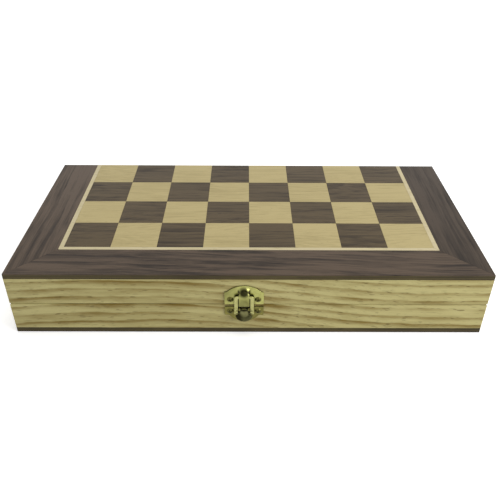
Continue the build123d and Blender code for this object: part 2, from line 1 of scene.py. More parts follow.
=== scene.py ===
"""Folding chess case with a board on its outer faces, its men, hinges and toggle latch."""

import logging
import math
from collections.abc import Callable
from dataclasses import dataclass, replace
from enum import Enum
from functools import partial

import bmesh
import bpy
from mathutils import Matrix, Vector


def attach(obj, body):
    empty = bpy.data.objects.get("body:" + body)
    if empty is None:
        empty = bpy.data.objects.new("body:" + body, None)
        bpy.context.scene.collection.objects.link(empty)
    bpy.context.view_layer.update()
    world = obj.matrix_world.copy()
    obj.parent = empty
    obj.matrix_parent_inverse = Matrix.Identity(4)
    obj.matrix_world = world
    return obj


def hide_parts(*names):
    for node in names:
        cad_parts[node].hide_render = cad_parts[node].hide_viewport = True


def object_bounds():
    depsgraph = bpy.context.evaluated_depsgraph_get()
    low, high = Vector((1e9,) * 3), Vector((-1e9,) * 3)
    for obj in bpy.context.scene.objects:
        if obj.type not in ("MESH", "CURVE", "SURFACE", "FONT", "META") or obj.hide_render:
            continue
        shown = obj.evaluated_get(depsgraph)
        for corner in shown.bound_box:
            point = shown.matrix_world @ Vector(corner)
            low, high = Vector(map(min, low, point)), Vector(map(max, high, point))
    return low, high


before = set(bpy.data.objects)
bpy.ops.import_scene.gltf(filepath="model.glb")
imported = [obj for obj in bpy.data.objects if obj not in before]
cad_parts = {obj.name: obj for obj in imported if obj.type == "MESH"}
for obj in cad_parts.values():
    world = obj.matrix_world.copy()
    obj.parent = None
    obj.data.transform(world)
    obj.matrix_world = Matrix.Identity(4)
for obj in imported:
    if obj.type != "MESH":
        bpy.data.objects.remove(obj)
CAD_BOX = [list(corner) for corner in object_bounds()]
MM = 0.001
# The closed case's height and the side of the board's squares, in mm
CASE_HEIGHT = CAD_BOX[1][2] / MM
SQUARE = 30.0
# Faces that meet at less than this angle are shaded as one
CREASE = math.radians(35)
HERE = Matrix.Identity(4)
log = logging.getLogger("chess_case")

MATH, VECTOR, NOISE = "ShaderNodeMath", "ShaderNodeVectorMath", "ShaderNodeTexNoise"
# A range takes a value, the two ends of its range and what it becomes at each end
RANGE, MAPPING, MIX = "ShaderNodeMapRange", "ShaderNodeMapping", "ShaderNodeMix"
# The two colour inputs of a mix
MIX_A, MIX_B = 6, 7

Node, Socket, Object = bpy.types.Node, bpy.types.NodeSocket, bpy.types.Object
Adder = Callable[..., Node]
Point = tuple[float, float]
Place = tuple[float, float, float]
Solid = tuple[list[Place], list[tuple[int, ...]]]


class Grain(Enum):
    """Which way the fibres of a piece of wood run, in degrees from X."""

    ALONG_X = 0.0
    ALONG_Y = 90.0


class Half(Enum):
    """The two halves of the case, each named as its body."""

    BASE = "base"
    LID = "lid"


class Head(Enum):
    """The two kinds of screw head."""

    DOMED_WITH_CROSS = "domed with cross"
    FLUSH_WITH_SLOT = "flush with slot"


def linear(hex_colour: str) -> tuple[float, float, float, float]:
    """Turns an sRGB hex colour into linear light.

    Args:
        hex_colour: six hex digits, such as "c8a060".

    Returns:
        Red, green, blue and an alpha of one.
    """
    parts = [int(hex_colour[i : i + 2], 16) / 255 for i in (0, 2, 4)]
    return (*[p / 12.92 if p <= 0.04045 else ((p + 0.055) / 1.055) ** 2.4 for p in parts], 1.0)


def add_node(tree: bpy.types.NodeTree, kind: str, inputs: dict | tuple = (), **settings) -> Node:
    """Adds a node with its settings, its values and its links.

    Args:
        tree: the node tree that gets it.
        kind: the node's type name.
        inputs: what goes in, either in order or by name or number. Each is a value, an output
            socket, or a node, which gives the first output that its settings leave on.
        settings: the node's own attributes.

    Returns:
        The new node.
    """
    node = tree.nodes.new(kind)
    for name, value in settings.items():
        setattr(node, name, value)
    for key, value in (inputs if isinstance(inputs, dict) else dict(enumerate(inputs))).items():
        if isinstance(value, Node):
            value = next(output for output in value.outputs if output.enabled)
        if isinstance(value, Socket):
            tree.links.new(value, node.inputs[key])
        else:
            node.inputs[key].default_value = value
    return node


def new_material(name: str, turn: float = 0.0) -> tuple[bpy.types.Material, Adder, Node]:
    """Makes an empty node material.

    Args:
        name: the real material's name.
        turn: how far the piece's fibres are turned from X, in degrees.

    Returns:
        The material, what adds a node to it, and each point's place on its piece in mm, turned
        back so that the fibres run along X.
    """
    material = bpy.data.materials.new(name)
    material.use_nodes = True
    material.node_tree.nodes.clear()
    add = partial(add_node, material.node_tree)
    place = {"Vector": add("ShaderNodeTexCoord").outputs["Object"], "Scale": (1 / MM,) * 3}
    return material, add, add(MAPPING, {**place, "Rotation": (0, 0, -math.radians(turn))})


def close_material(add: Adder, inputs: dict) -> None:
    """Ends a material with its shader.

    Args:
        add: what adds a node to it.
        inputs: the shader's inputs.
    """
    add("ShaderNodeOutputMaterial", (add("ShaderNodeBsdfPrincipled", inputs),))


def step_along(add: Adder, along: Node, step: Place) -> Node:
    """Changes a value smoothly between two places along the board.

    Args:
        add: what adds a node to the material.
        along: the place along the board, in mm.
        step: where the change starts, where it ends, and how large it is.

    Returns:
        Nothing before the start, and the whole change after the end.
    """
    start, end, change = step
    return add(RANGE, (along, start, end, 0.0, change), interpolation_type="SMOOTHSTEP")


@dataclass(frozen=True)
class Wood:
    """Sawn or sliced wood under a thin satin lacquer.

    Its growth rings run round a heart that lies off the board, so a flat face shows long curved
    figure and an edge shows nearly straight lines. Each bend slides the figure sideways between
    two places along the board, and each painted light turn changes its tone there: painted shade
    where its change is above zero, painted light below. Pores are short dark strokes along the
    fibres. The figure, the fibres and the streaks are many times longer than they are wide, as
    their scales per mm along and across the board say.
    """

    name: str
    pale: str
    dark: str
    pore: str
    grain: Grain = Grain.ALONG_X
    ring_mm: float = 4.0
    heart_mm: Point = (60.0, -40.0)
    bends: tuple[Place, ...] = ()
    # Painted light and shade: where each turn starts and ends along the board, and how much darker
    # it makes the wood
    tone_turns: tuple[Place, ...] = ()
    wander_mm: float = 7.0
    waver: float = 0.9
    ring_shape: tuple[Point, ...] = ((0.0, 0.1), (0.82, 0.9), (1.0, 0.1))
    figure: float = 0.6
    figure_per_mm: Place = (0.006, 0.02, 0.02)
    streak: float = 0.0
    streak_per_mm: Place = (0.007, 0.16, 0.16)
    fibre: float = 0.9
    fibre_per_mm: Place = (0.02, 0.8, 0.8)
    pore_mm: Point = (7.0, 0.35)
    pore_share: float = 0.34
    pore_fade: float = 0.07
    pore_depth: float = 0.6
    piece_mm: float = 0.0
    piece_tone: float = 0.0
    piece_jump_mm: float = 300.0
    piece_askew: float = 0.15
    blotch: float = 0.5
    crowding: float = 0.6
    roughness: float = 0.37
    dark_roughness: float = 0.12
    lacquer_shine: float = 0.2

    def material(self) -> bpy.types.Material:
        """Builds the node material, which reads Object coordinates.

        Returns:
            The material.
        """
        material, add, board = new_material(self.name, self.grain.value)
        board, tone = self.squares(add, board)
        along = add("ShaderNodeSeparateXYZ", (board,))
        stretched = add(MAPPING, {"Vector": board, "Scale": self.figure_per_mm})
        bent = self.bend(add, board, stretched)
        slides = [step_along(add, along, bend) for bend in self.bends]
        if tone is not None:
            # Each square lies a little askew to the figure
            ends = (2 * self.piece_askew, -self.piece_askew)
            slope = add(MATH, (tone, *ends), operation="MULTIPLY_ADD")
            slides.append(add(MATH, (along, slope), operation="MULTIPLY"))
        for slide in slides:
            sideways = add("ShaderNodeCombineXYZ", {"Y": slide, "Z": slide})
            bent = add(VECTOR, (bent, sideways), operation="ADD")
        ring = self.rings(add, bent, stretched)
        # A real fibre is too fine to show, so the streaks stand for bundles of them
        place = add(MAPPING, {"Vector": bent, "Scale": self.fibre_per_mm})
        fibre = add(NOISE, {"Vector": place, "Scale": 1.0, "Detail": 4.0, "Roughness": 0.6})
        patch = add(NOISE, {"Vector": stretched, "Scale": 4.0, "Detail": 3.0})
        # Long pale and dark streaks run with the figure
        place = add(MAPPING, {"Vector": bent, "Scale": self.streak_per_mm})
        streak = add(NOISE, {"Vector": place, "Scale": 1.0, "Detail": 2.0})
        # The rings stand out in some places and are faint in others
        faint, bold = 0.5 * self.figure, 1.3 * self.figure
        strength = add(RANGE, (patch, 0.35, 0.65, faint, bold))
        share = add(MATH, (ring, strength), operation="MULTIPLY")
        parts = [(fibre, self.fibre), (patch, self.blotch), (streak, self.streak)]
        if tone is not None:
            parts.append((tone, self.piece_tone))
        for part, weight in parts:
            centred = add(MATH, (part, 0.5), operation="SUBTRACT")
            share = add(MATH, (centred, weight, share), operation="MULTIPLY_ADD")
        # Painted light and shade, turn by turn along the board
        for turn in self.tone_turns:
            share = add(MATH, (share, step_along(add, along, turn)), operation="ADD")
        share = add("ShaderNodeClamp", (share,))
        pores = self.pores(add, bent, ring)
        ends = {MIX_A: linear(self.pale), MIX_B: linear(self.dark)}
        body = add(MIX, {0: share, **ends}, data_type="RGBA")
        colour = add(MIX, {0: pores, MIX_A: body, MIX_B: linear(self.pore)}, data_type="RGBA")
        # Dark late wood takes a little less polish, and the pores lie open
        dull = self.dark_roughness
        rough = add(MATH, (share, dull, self.roughness), operation="MULTIPLY_ADD")
        height = add(MATH, (pores, -1.0, fibre), operation="MULTIPLY_ADD")
        bump = add("ShaderNodeBump", {"Height": height, "Strength": 0.25, "Distance": 0.1 * MM})
        looks = {"Base Color": colour, "Roughness": rough, "Normal": bump}
        close_material(add, {**looks, "Specular IOR Level": self.lacquer_shine})
        return material

    def squares(self, add: Adder, board: Node) -> tuple[Node, Node | None]:
        """Cuts each square, where the wood is in squares, from a place of its own.

        Args:
            add: what adds a node to the material.
            board: the place on the piece.

        Returns:
            The place in the wood, and a chance tone for each square or nothing.
        """
        if not self.piece_mm:
            return board, None
        size = (self.piece_mm, self.piece_mm, 1 / MM)
        cell = add(VECTOR, (board, size), operation="DIVIDE")
        tone = add("ShaderNodeTexWhiteNoise", (add(VECTOR, (cell,), operation="FLOOR"),))
        chance = {0: tone.outputs["Color"], "Scale": self.piece_jump_mm}
        jump = add(VECTOR, chance, operation="SCALE")
        return add(VECTOR, (board, jump), operation="ADD"), tone

    def bend(self, add: Adder, board: Node, stretched: Node) -> Node:
        """Bends the figure, as the heart wanders slowly along the tree.

        Args:
            add: what adds a node to the material.
            board: the place in the wood.
            stretched: the same, scaled for features as long as the figure's.

        Returns:
            The bent place in mm.
        """
        wander = add(NOISE, {"Vector": stretched, "Scale": 1.0, "Detail": 2.0}).outputs["Color"]
        offset = add(VECTOR, (wander, (0.5, 0.5, 0.5)), operation="SUBTRACT")
        reach = 2 * self.wander_mm
        offset = add(VECTOR, (offset, (0, reach, reach)), operation="MULTIPLY")
        return add(VECTOR, (board, offset), operation="ADD")

    def rings(self, add: Adder, bent: Node, stretched: Node) -> Node:
        """Draws the growth rings round the heart.

        Args:
            add: what adds a node to the material.
            bent: the bent place in the wood.
            stretched: the place, scaled for features as long as the figure's.

        Returns:
            How dark each ring is, from its early wood to its late wood.
        """
        across = add(VECTOR, (bent, (0.0, 1.0, 1.0)), operation="MULTIPLY")
        away = add(VECTOR, (across, (0.0, *self.heart_mm)), operation="DISTANCE")
        count = add(MATH, (away, self.ring_mm), operation="DIVIDE")
        uneven = add(NOISE, {"Vector": stretched, "Scale": 9.0, "Detail": 3.0})
        count = add(MATH, (uneven, self.waver, count), operation="MULTIPLY_ADD")
        ring = add("ShaderNodeValToRGB", (add(MATH, (count,), operation="FRACT"),))
        stops = ring.color_ramp.elements
        for i, (position, depth) in enumerate(self.ring_shape):
            # A new ramp has two stops already
            stop = stops[i] if i < 2 else stops.new(position)
            stop.position, stop.color = position, (depth, depth, depth, 1)
        return ring

    def pores(self, add: Adder, bent: Node, ring: Node) -> Node:
        """Draws the pores, which crowd where the rings are dark.

        Args:
            add: what adds a node to the material.
            bent: the bent place in the wood.
            ring: how dark each ring is.

        Returns:
            How much of the pore's colour shows.
        """
        length, width = self.pore_mm
        strokes = (1 / length, 0.5 / width, 0.5 / width)
        place = add(MAPPING, {"Vector": bent, "Scale": strokes})
        speck = add(NOISE, {"Vector": place, "Scale": 1.0, "Detail": 1.0})
        pores = add(RANGE, (speck, self.pore_share, self.pore_share - self.pore_fade))
        crowded = self.crowding * self.pore_depth
        ends = (crowded, self.pore_depth - crowded)
        crowd = add(MATH, (ring, *ends), operation="MULTIPLY_ADD")
        return add(MATH, (pores, crowd), operation="MULTIPLY")


@dataclass(frozen=True)
class Patch:
    """A round place on metal, with the share free of painted shade within it and beyond it."""

    centre_mm: Place
    radius_mm: float
    fade_mm: float
    within: float
    beyond: float = 1.0


@dataclass(frozen=True)
class Metal:
    """Stamped or drawn metal, with shade painted into its colour in its hollows and in round
    patches.
    """

    name: str
    colour: str
    shade: str
    roughness: float = 0.22
    mottle_mm: float = 3.0
    scratch: float = 0.12
    # The colour of the painted shade, and the roughness that it adds where it lies
    tarnish: str = "1b180a"
    tarnish_roughness: float = 0.15
    hollow_mm: float = 2.2
    patches: tuple[Patch, ...] = ()

    def material(self) -> bpy.types.Material:
        """Builds the node material, which reads Object coordinates.

        Returns:
            The material.
        """
        material, add, mm = new_material(self.name)
        cloud = add(NOISE, {"Vector": mm, "Scale": 1 / self.mottle_mm, "Detail": 3.0})
        ends = {MIX_A: linear(self.colour), MIX_B: linear(self.shade)}
        bright = add(MIX, {0: cloud, **ends}, data_type="RGBA")
        # Painted shade: the dark colour fills hollows, joints and patches
        clean = self.clean_share(add, mm)
        ends = {MIX_A: linear(self.tarnish), MIX_B: bright}
        colour = add(MIX, {0: clean, **ends}, data_type="RGBA")
        fine = add(NOISE, {"Vector": mm, "Scale": 2.5, "Detail": 5.0, "Roughness": 0.7})
        dull = self.tarnish_roughness
        rough = add(MATH, (fine, self.scratch, self.roughness + dull), operation="MULTIPLY_ADD")
        rough = add(MATH, (clean, -dull, rough), operation="MULTIPLY_ADD")
        bump = add("ShaderNodeBump", {"Height": fine, "Strength": 0.12, "Distance": 0.05 * MM})
        looks = {"Base Color": colour, "Roughness": rough, "Normal": bump, "Metallic": 1.0}
        close_material(add, looks)
        return material

    def clean_share(self, add: Adder, mm: Node) -> Node:
        """Tells where shade is painted: in the hollows and joints that occlusion finds, and in
        patches.

        Args:
            add: what adds a node to the material.
            mm: the place on the piece.

        Returns:
            One where no shade is painted and zero where the colour is all painted shade.
        """
        reach = {"Distance": self.hollow_mm * MM}
        # Painted shade where ambient occlusion finds a hollow
        openness = add("ShaderNodeAmbientOcclusion", reach, samples=8).outputs["AO"]
        hidden, bare = 0.35, 0.85
        clean = add(RANGE, (openness, hidden, bare))
        for patch in self.patches:
            away = add(VECTOR, (mm, patch.centre_mm), operation="DISTANCE")
            inner, outer = patch.radius_mm - patch.fade_mm, patch.radius_mm + patch.fade_mm
            share = add(RANGE, (away, inner, outer, patch.within, patch.beyond))
            clean = add(MATH, (clean, share), operation="MULTIPLY")
        return clean


@dataclass(frozen=True)
class Flock:
    """Foam covered with short dyed fibres, matt with a faint sheen."""

    name: str
    colour: str
    shade: str
    tuft_mm: float = 0.6
    lay_mm: float = 20.0
    contrast: float = 2.2

    def material(self) -> bpy.types.Material:
        """Builds the node material, which reads Object coordinates.

        Returns:
            The material.
        """
        material, add, mm = new_material(self.name)
        tufts = {"Scale": 1 / self.tuft_mm, "Detail": 4.0, "Roughness": 0.8}
        tuft = add(NOISE, {"Vector": mm, **tufts})
        lay = add(NOISE, {"Vector": mm, "Scale": 1 / self.lay_mm, "Detail": 3.0})
        share = add(MATH, (tuft, lay), operation="MULTIPLY")
        share = add(MATH, (share, self.contrast), operation="MULTIPLY")
        ends = {MIX_A: linear(self.shade), MIX_B: linear(self.colour)}
        colour = add(MIX, {0: share, **ends}, data_type="RGBA")
        bump = add("ShaderNodeBump", {"Height": tuft, "Strength": 0.6, "Distance": 0.3 * MM})
        looks = {"Base Color": colour, "Normal": bump, "Roughness": 0.95}
        close_material(add, {**looks, "Sheen Weight": 0.08, "Specular IOR Level": 0.2})
        return material


Finish = Wood | Metal | Flock

# Open-grained ash: broad brown late wood on pale straw, scored with short dark pores
ASH = Wood(
    "ash board",
    pale="bcb27a",
    dark="7c682f",
    pore="5a4b23",
    ring_mm=6.2,
    ring_shape=((0.0, 0.05), (1.0, 0.05), (0.25, 0.12), (0.52, 0.45), (0.78, 0.95), (0.93, 0.8)),
    figure=0.76,
    waver=0.45,
    streak=1.1,
    pore_mm=(6.0, 0.4),
    pore_share=0.375,
    pore_depth=0.7,
    wander_mm=3.0,
)
# The front boards are cut where the figure dips at the left and climbs to the right
FRONT_ASH = replace(
    ASH,
    heart_mm=(-75.0, -400.0),
    bends=((-165.0, -97.0, -3.0), (-65.0, 115.0, 15.5)),
    # Painted shade darkens the boards from the left end into the middle, painted light pales them
    # to the right
    tone_turns=((-120.0, -70.0, 0.19), (-30.0, 30.0, -0.24)),
)
# Sliced walnut: cool dark brown with close, wavering darker lines
WALNUT = Wood(
    "walnut veneer",
    pale="54462f",
    dark="20170d",
    pore="170f07",
    ring_mm=3.4,
    figure=0.52,
    pore_depth=0.45,
    wander_mm=5.0,
    streak=0.9,
    fibre=1.9,
)
# The border is cut from a broader figure, so its streaks run long and wide
BORDER = replace(
    WALNUT, pale="57483a", dark="1f170f", ring_mm=7.0, figure=0.66, streak=2.0, waver=0.6
)
# Sliced beech: even honey colour with fine straight fibres and tiny flecks
BEECH = Wood(
    "beech veneer",
    pale="baaa78",
    dark="97885c",
    pore="806f48",
    ring_mm=3.0,
    figure=0.3,
    heart_mm=(-500.0, 0.0),
    piece_mm=SQUARE,
    piece_tone=0.25,
    fibre=1.8,
    pore_mm=(3.0, 0.3),
    pore_depth=0.35,
)
# Maple: the palest wood of the board, with hardly any figure
MAPLE = Wood(
    "maple line", pale="ccbf99", dark="b7a97d", pore="94855b", ring_mm=3.0, figure=0.3
)
# Stained ply: its cut edge shows level dark layers
PLY = Wood(
    "stained poplar ply",
    pale="504626",
    dark="241d0c",
    pore="161209",
    ring_mm=1.4,
    heart_mm=(0.0, -5000.0),
    waver=0.2,
    wander_mm=0.3,
    figure=0.7,
)
# Boxwood: butter-yellow and close-grained, so a turned man looks smooth
BOXWOOD = Wood("boxwood", pale="d8c391", dark="b8a06a", pore="a08a58", ring_mm=2.5)
# The same wood under a dark stain, through which the grain still shows in brown
EBONISED = Wood("stained boxwood", pale="4a3226", dark="2b1a12", pore="1a0f0a", ring_mm=2.5)
# Mild steel as rolled: neutral grey with soft reflections
STEEL = Metal("mild steel sheet", "8d8f92", "6d6f72", roughness=0.4)
# Nickel plating: a pale grey metal with clearer reflections than the steel
NICKEL = Metal("nickel-plated magnet", "9a9a9c", "77777a", roughness=0.3)
# Flock swallows light and looks deep green, with a paler haze where the fibres lie over
FLOCK = Flock("flocked foam", "1f4a31", "0c2416")
# Thin brass plating on steel: greenish yellow and cloudy, with painted shade in every hollow
BRASS = Metal("brass-plated steel", "a7a668", "797640")
# The latch's lower plate is a darker copy of the brass, as painted shade: it reads olive beside the
# upper one
DULL_BRASS = Metal("brass-plated steel, dulled", "817c45", "544f27", roughness=0.28)
# The upper plate is painted lighter than the plain brass, with painted shade on the hook and left
# ear
STRIKE_BRASS = Metal(
    "brass-plated steel, with a dulled hook",
    "b2b26f",
    "828045",
    patches=(
        # Painted shade on the hook's lower face
        Patch((-3.2, -79.3, 26.0), 4.6, 1.8, 0.5),
        # A painted dark reflection on the hook's tip, the hood and the window, dimming their
        # highlight
        Patch((-3.2, -77.5, 34.0), 2.9, 0.9, 0.06),
        # Painted shade on the left ear, which the light from the right reaches less
        Patch((-15.5, -76.0, 33.0), 6.0, 6.0, 0.5),
    ),
)
# The screws are painted darker than the plates, as painted shade round each head and in its recess
SCREW_BRASS = Metal(
    "brass-plated screw, dulled", "6f6b3c", "46421f", roughness=0.3, hollow_mm=1.6
)
# The lever's brass is darker, partly for wear where it is handled and partly as painted shade
WORN_BRASS = Metal(
    "brass-plated steel, worn at the finger",
    "817f55",
    "4a492f",
    roughness=0.4,
    hollow_mm=5.0,
    patches=(
        # Painted shade in a ring round the pad, which keeps the full colour
        Patch((-3.2, -78.6, 18.3), 2.7, 0.35, 1.0, 0.45),
        # Painted shade on the lip's left, dimming the lamp's highlight there
        Patch((-8.0, -79.6, 15.6), 3.6, 1.2, 0.1),
        # A painted shadow on the lever's top, under the hook
        Patch((-3.2, -78.6, 22.4), 2.4, 0.6, 0.1),
    ),
)
# The loop is painted lighter than the plain brass, as painted light on its arms, which face the
# lamps
RUBBED_BRASS = Metal(
    "brass-plated steel, rubbed bright", "b4b37b", "89864f", roughness=0.26, hollow_mm=1.2
)


def dress(piece: Object, finish: Finish) -> None:
    """Gives a piece its finish in place of any other.

    Args:
        piece: the piece.
        finish: what it is made of.
    """
    piece.data.materials.clear()
    piece.data.materials.append(finish.material())


@dataclass
class CaseHalf:
    """One half of the case, whose walls, panel, veneers, sheet and insert keep their CAD shapes."""

    half: Half
    lid_shift_mm: float = 37.0

    def dress(self) -> None:
        """Gives every piece of this half its own finish, with the lid's veneer cut elsewhere."""
        shift = self.lid_shift_mm if self.half is Half.LID else 0.0
        side_ash = replace(ASH, grain=Grain.ALONG_Y)
        side_border = replace(BORDER, grain=Grain.ALONG_Y)
        climb = ((-120.0, 150.0, 15.0),)
        finishes = {
            "front_wall": FRONT_ASH,
            "rear_wall": replace(ASH, heart_mm=(90.0, -420.0)),
            "left_wall": replace(side_ash, heart_mm=(150.0, -380.0)),
            "right_wall": replace(side_ash, heart_mm=(-150.0, -440.0)),
            "panel_core": PLY,
            "dark_squares": replace(
                WALNUT, piece_mm=SQUARE, piece_tone=0.3, heart_mm=(400.0, -60.0)
            ),
            "light_squares": BEECH,
            "inlay_line": MAPLE,
            "border_front": replace(BORDER, heart_mm=(shift - 420.0, 0.0), bends=climb),
            "border_left": replace(side_border, heart_mm=(500.0, shift)),
            # The right strip is cut from a darker sheet
            "border_right": replace(side_border, heart_mm=(-500.0, shift), pale="43372b"),
            "steel_sheet": STEEL,
            "insert": FLOCK,
        }
        for part, finish in finishes.items():
            dress(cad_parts[f"{self.half.value}_{part}"], finish)
        log.info("dressed the %s, %d pieces", self.half.value, len(finishes))


def axes(x: Place, y: Place, z: Place, origin: Place = (0.0, 0.0, 0.0)) -> Matrix:
    """Makes the matrix of a frame.

    Args:
        x: the direction of its first axis.
        y: the direction of its second axis.
        z: the direction of its third axis.
        origin: where it starts.

    Returns:
        The matrix that takes the frame's own points to the case's.
    """
    matrix = Matrix((x, y, z)).transposed().to_4x4()
    matrix.translation = origin
    return matrix


# Takes (across, up, toward the front) to the case's frame
UPRIGHT = axes((1, 0, 0), (0, 0, 1), (0, -1, 0))


def lathe(profile: list[Point], sides: int = 32) -> Solid:
    """Turns a profile about the upright axis.

    Args:
        profile: (radius, height) points in mm, from the foot on the axis to the top on the axis.
        sides: how many steps the turn has.

    Returns:
        The corners in mm and the faces, closed at both poles.
    """
    inner = [point for point in profile if point[0] > 0]
    angles = [math.tau * i / sides for i in range(sides)]
    points = [(0.0, 0.0, profile[0][1])]
    points += [(r * math.cos(a), r * math.sin(a), height) for r, height in inner for a in angles]
    points.append((0.0, 0.0, profile[-1][1]))
    top = 1 + (len(inner) - 1) * sides
    faces: list[tuple[int, ...]] = []
    for i in range(sides):
        beside = (i + 1) % sides
        faces += [(0, 1 + beside, 1 + i), (top + i, top + beside, len(points) - 1)]
        for low in range(1, top, sides):
            high = low + sides
            faces.append((low + i, low + beside, high + beside, high + i))
    return points, faces


def bar(radius: float, length: float, edge: float) -> list[Point]:
    """Draws the profile of a round bar with bevelled ends.

    Args:
        radius: its radius in mm.
        length: its length in mm.
        edge: the bevel in mm.

    Returns:
        Its profile, with the middle at the origin.
    """
    half, inner = length / 2, radius - edge
    end = [(radius, half - edge), (inner, half), (0, half)]
    return [(r, -height) for r, height in reversed(end)] + end


def eased(stations: list[Point], steps: int = 2) -> list[Point]:
    """Rounds a turned profile by running a smooth curve through its stations.

    Args:
        stations: (radius, height) points in mm that the curve passes.
        steps: how many pieces each span gets.

    Returns:
        The denser profile, which stays off the axis.
    """
    least, last = 0.02, len(stations) - 1
    dense: list[Point] = []
    for i in range(last):
        before, start, end = stations[max(i - 1, 0)], stations[i], stations[i + 1]
        after = stations[min(i + 2, last)]
        for t in (k / steps for k in range(steps)):
            curve = [
                b + t / 2 * (c - a + t * (2 * a - 5 * b + 4 * c - d + t * (3 * b - a - 3 * c + d)))
                for a, b, c, d in zip(before, start, end, after)
            ]
            dense.append((max(least, curve[0]), max(least, curve[1])))
    return dense + [stations[-1]]


def smooth(mesh: bpy.types.Mesh) -> None:
    """Shades gentle bends smooth and keeps creases sharp."""
    mesh.shade_smooth()
    mesh.set_sharp_from_angle(angle=CREASE)


def add_object(name: str, data: bpy.types.ID) -> Object:
    """Adds an object to the scene.

    Args:
        name: its name.
        data: its mesh, curve, lamp or camera.

    Returns:
        The object.
    """
    piece = bpy.data.objects.new(name, data)
    bpy.context.scene.collection.objects.link(piece)
    return piece


def make_object(name: str, solid: Solid, place: Matrix = HERE) -> Object:
    """Makes an object of a solid given in mm.

    Args:
        name: the object's name.
        solid: its corners and faces.
        place: where it goes, in mm.

    Returns:
        The object, with its place in its mesh.
    """
    mesh = bpy.data.meshes.new(name)
    mesh.from_pydata([place @ Vector(point) * MM for point in solid[0]], [], solid[1])
    mend(mesh, 1e-7)
    smooth(mesh)
    return add_object(name, mesh)


def plain_mesh(piece: Object) -> bpy.types.Mesh:
    """Makes a plain mesh of a curve or of a piece with modifiers.

    Args:
        piece: the object.

    Returns:
        The mesh.
    """
    bpy.context.view_layer.update()
    evaluated = piece.evaluated_get(bpy.context.evaluated_depsgraph_get())
    mesh = bpy.data.meshes.new_from_object(evaluated)
    smooth(mesh)
    return mesh


def settle(piece: Object) -> None:
    """Applies a piece's modifiers, so that it becomes a plain mesh."""
    mesh = plain_mesh(piece)
    piece.modifiers.clear()
    piece.data = mesh


def mend(mesh: bpy.types.Mesh, gap: float) -> None:
    """Merges corners that lie together and turns all faces outwards.

    Args:
        mesh: the mesh.
        gap: how close two corners are when they count as one, in the mesh's own unit.
    """
    builder = bmesh.new()
    builder.from_mesh(mesh)
    bmesh.ops.remove_doubles(builder, verts=builder.verts, dist=gap)
    bmesh.ops.dissolve_degenerate(builder, edges=builder.edges, dist=gap / 10)
    bmesh.ops.recalc_face_normals(builder, faces=builder.faces)
    builder.to_mesh(mesh)
    builder.free()


def join(name: str, parts: list[Object]) -> Object:
    """Makes one object of several.

    Args:
        name: the whole's name.
        parts: the objects, which go.

    Returns:
        The whole.
    """
    mesh = bpy.data.meshes.new(name)
    builder = bmesh.new()
    for part in parts:
        builder.from_mesh(part.data)
        bpy.data.objects.remove(part)
    builder.to_mesh(mesh)
    builder.free()
    smooth(mesh)
    return add_object(name, mesh)


def cut(piece: Object, tools: list[Object]) -> None:
    """Cuts other solids out of a piece.

    Args:
        piece: the piece.
        tools: the solids, which go.
    """
    for tool in tools:
        step = piece.modifiers.new("cut", "BOOLEAN")
        step.operation, step.solver, step.object = "DIFFERENCE", "EXACT", tool
    settle(piece)
    for tool in tools:
        bpy.data.objects.remove(tool)


def sheet_metal(
    name: str, outlines: list[list[Point]], low: float, high: float, edge: float, place: Matrix
) -> Object:
    """Cuts a flat piece out of sheet, with its edges rounded over.

    Args:
        name: the piece's name.
        outlines: the outer outline and any holes, in mm.
        low: where its back lies, in mm along the outlines' normal.
        high: where its face lies.
        edge: the radius of its rounded edges.
        place: what takes the outlines' own frame, in mm, to the case's.

    Returns:
        The piece, with its place in its mesh.
    """
    curve = bpy.data.curves.new(name, "CURVE")
    curve.dimensions = "2D"
    curve.fill_mode = "BOTH"
    for outline in outlines:
        spline = curve.splines.new("POLY")
        spline.points.add(len(outline) - 1)
        for point, (x, y) in zip(spline.points, outline):
            point.co = (x, y, 0, 1)
        spline.use_cyclic_u = True
    curve.extrude = (high - low) / 2 - edge
    curve.bevel_depth = edge
    curve.bevel_resolution = 2
    curve.offset = -edge
    blank = add_object(name, curve)
    mesh = plain_mesh(blank)
    bpy.data.objects.remove(blank)
    mend(mesh, 1e-4)
    lift = Matrix.Translation((0, 0, (low + high) / 2))
    mesh.transform(Matrix.Scale(MM, 4) @ place @ lift)
    return add_object(name, mesh)


def arc(centre: Point, radius: float, start: float, end: float, steps: int = 12) -> list[Point]:
    """Draws an arc.

    Args:
        centre: its centre.
        radius: its radius.
        start: where it starts, in degrees.
        end: where it ends, in degrees.
        steps: how many pieces it has.

    Returns:
        The points, ends included.
    """
    angles = [math.radians(start + (end - start) * i / steps) for i in range(steps + 1)]
    return [(centre[0] + radius * math.cos(a), centre[1] + radius * math.sin(a)) for a in angles]


def bow(start: Point, top: Point, end: Point, steps: int = 24) -> list[Point]:
    """Draws the arc through three points, the outer two at the same height.

    Args:
        start: where it starts.
        top: its highest or lowest point, midway.
        end: where it ends.
        steps: how many pieces it has.

    Returns:
        The points, ends included.
    """
    half, rise = abs(end[0] - start[0]) / 2, top[1] - start[1]
    radius = (half * half + rise * rise) / (2 * rise)
    centre = (top[0], top[1] - radius)
    first = math.degrees(math.atan2(start[1] - centre[1], start[0] - centre[0]))
    last = math.degrees(math.atan2(end[1] - centre[1], end[0] - centre[0]))
    return arc(centre, abs(radius), first, last, steps)


def oblong(half_width: float, low: float, high: float) -> list[Point]:
    """Draws a rectangle that stands astride the upright axis.

    Args:
        half_width: how far it reaches to either side.
        low: where it starts.
        high: where it ends.

    Returns:
        Its corners.
    """
    return [(-half_width, low), (half_width, low), (half_width, high), (-half_width, high)]


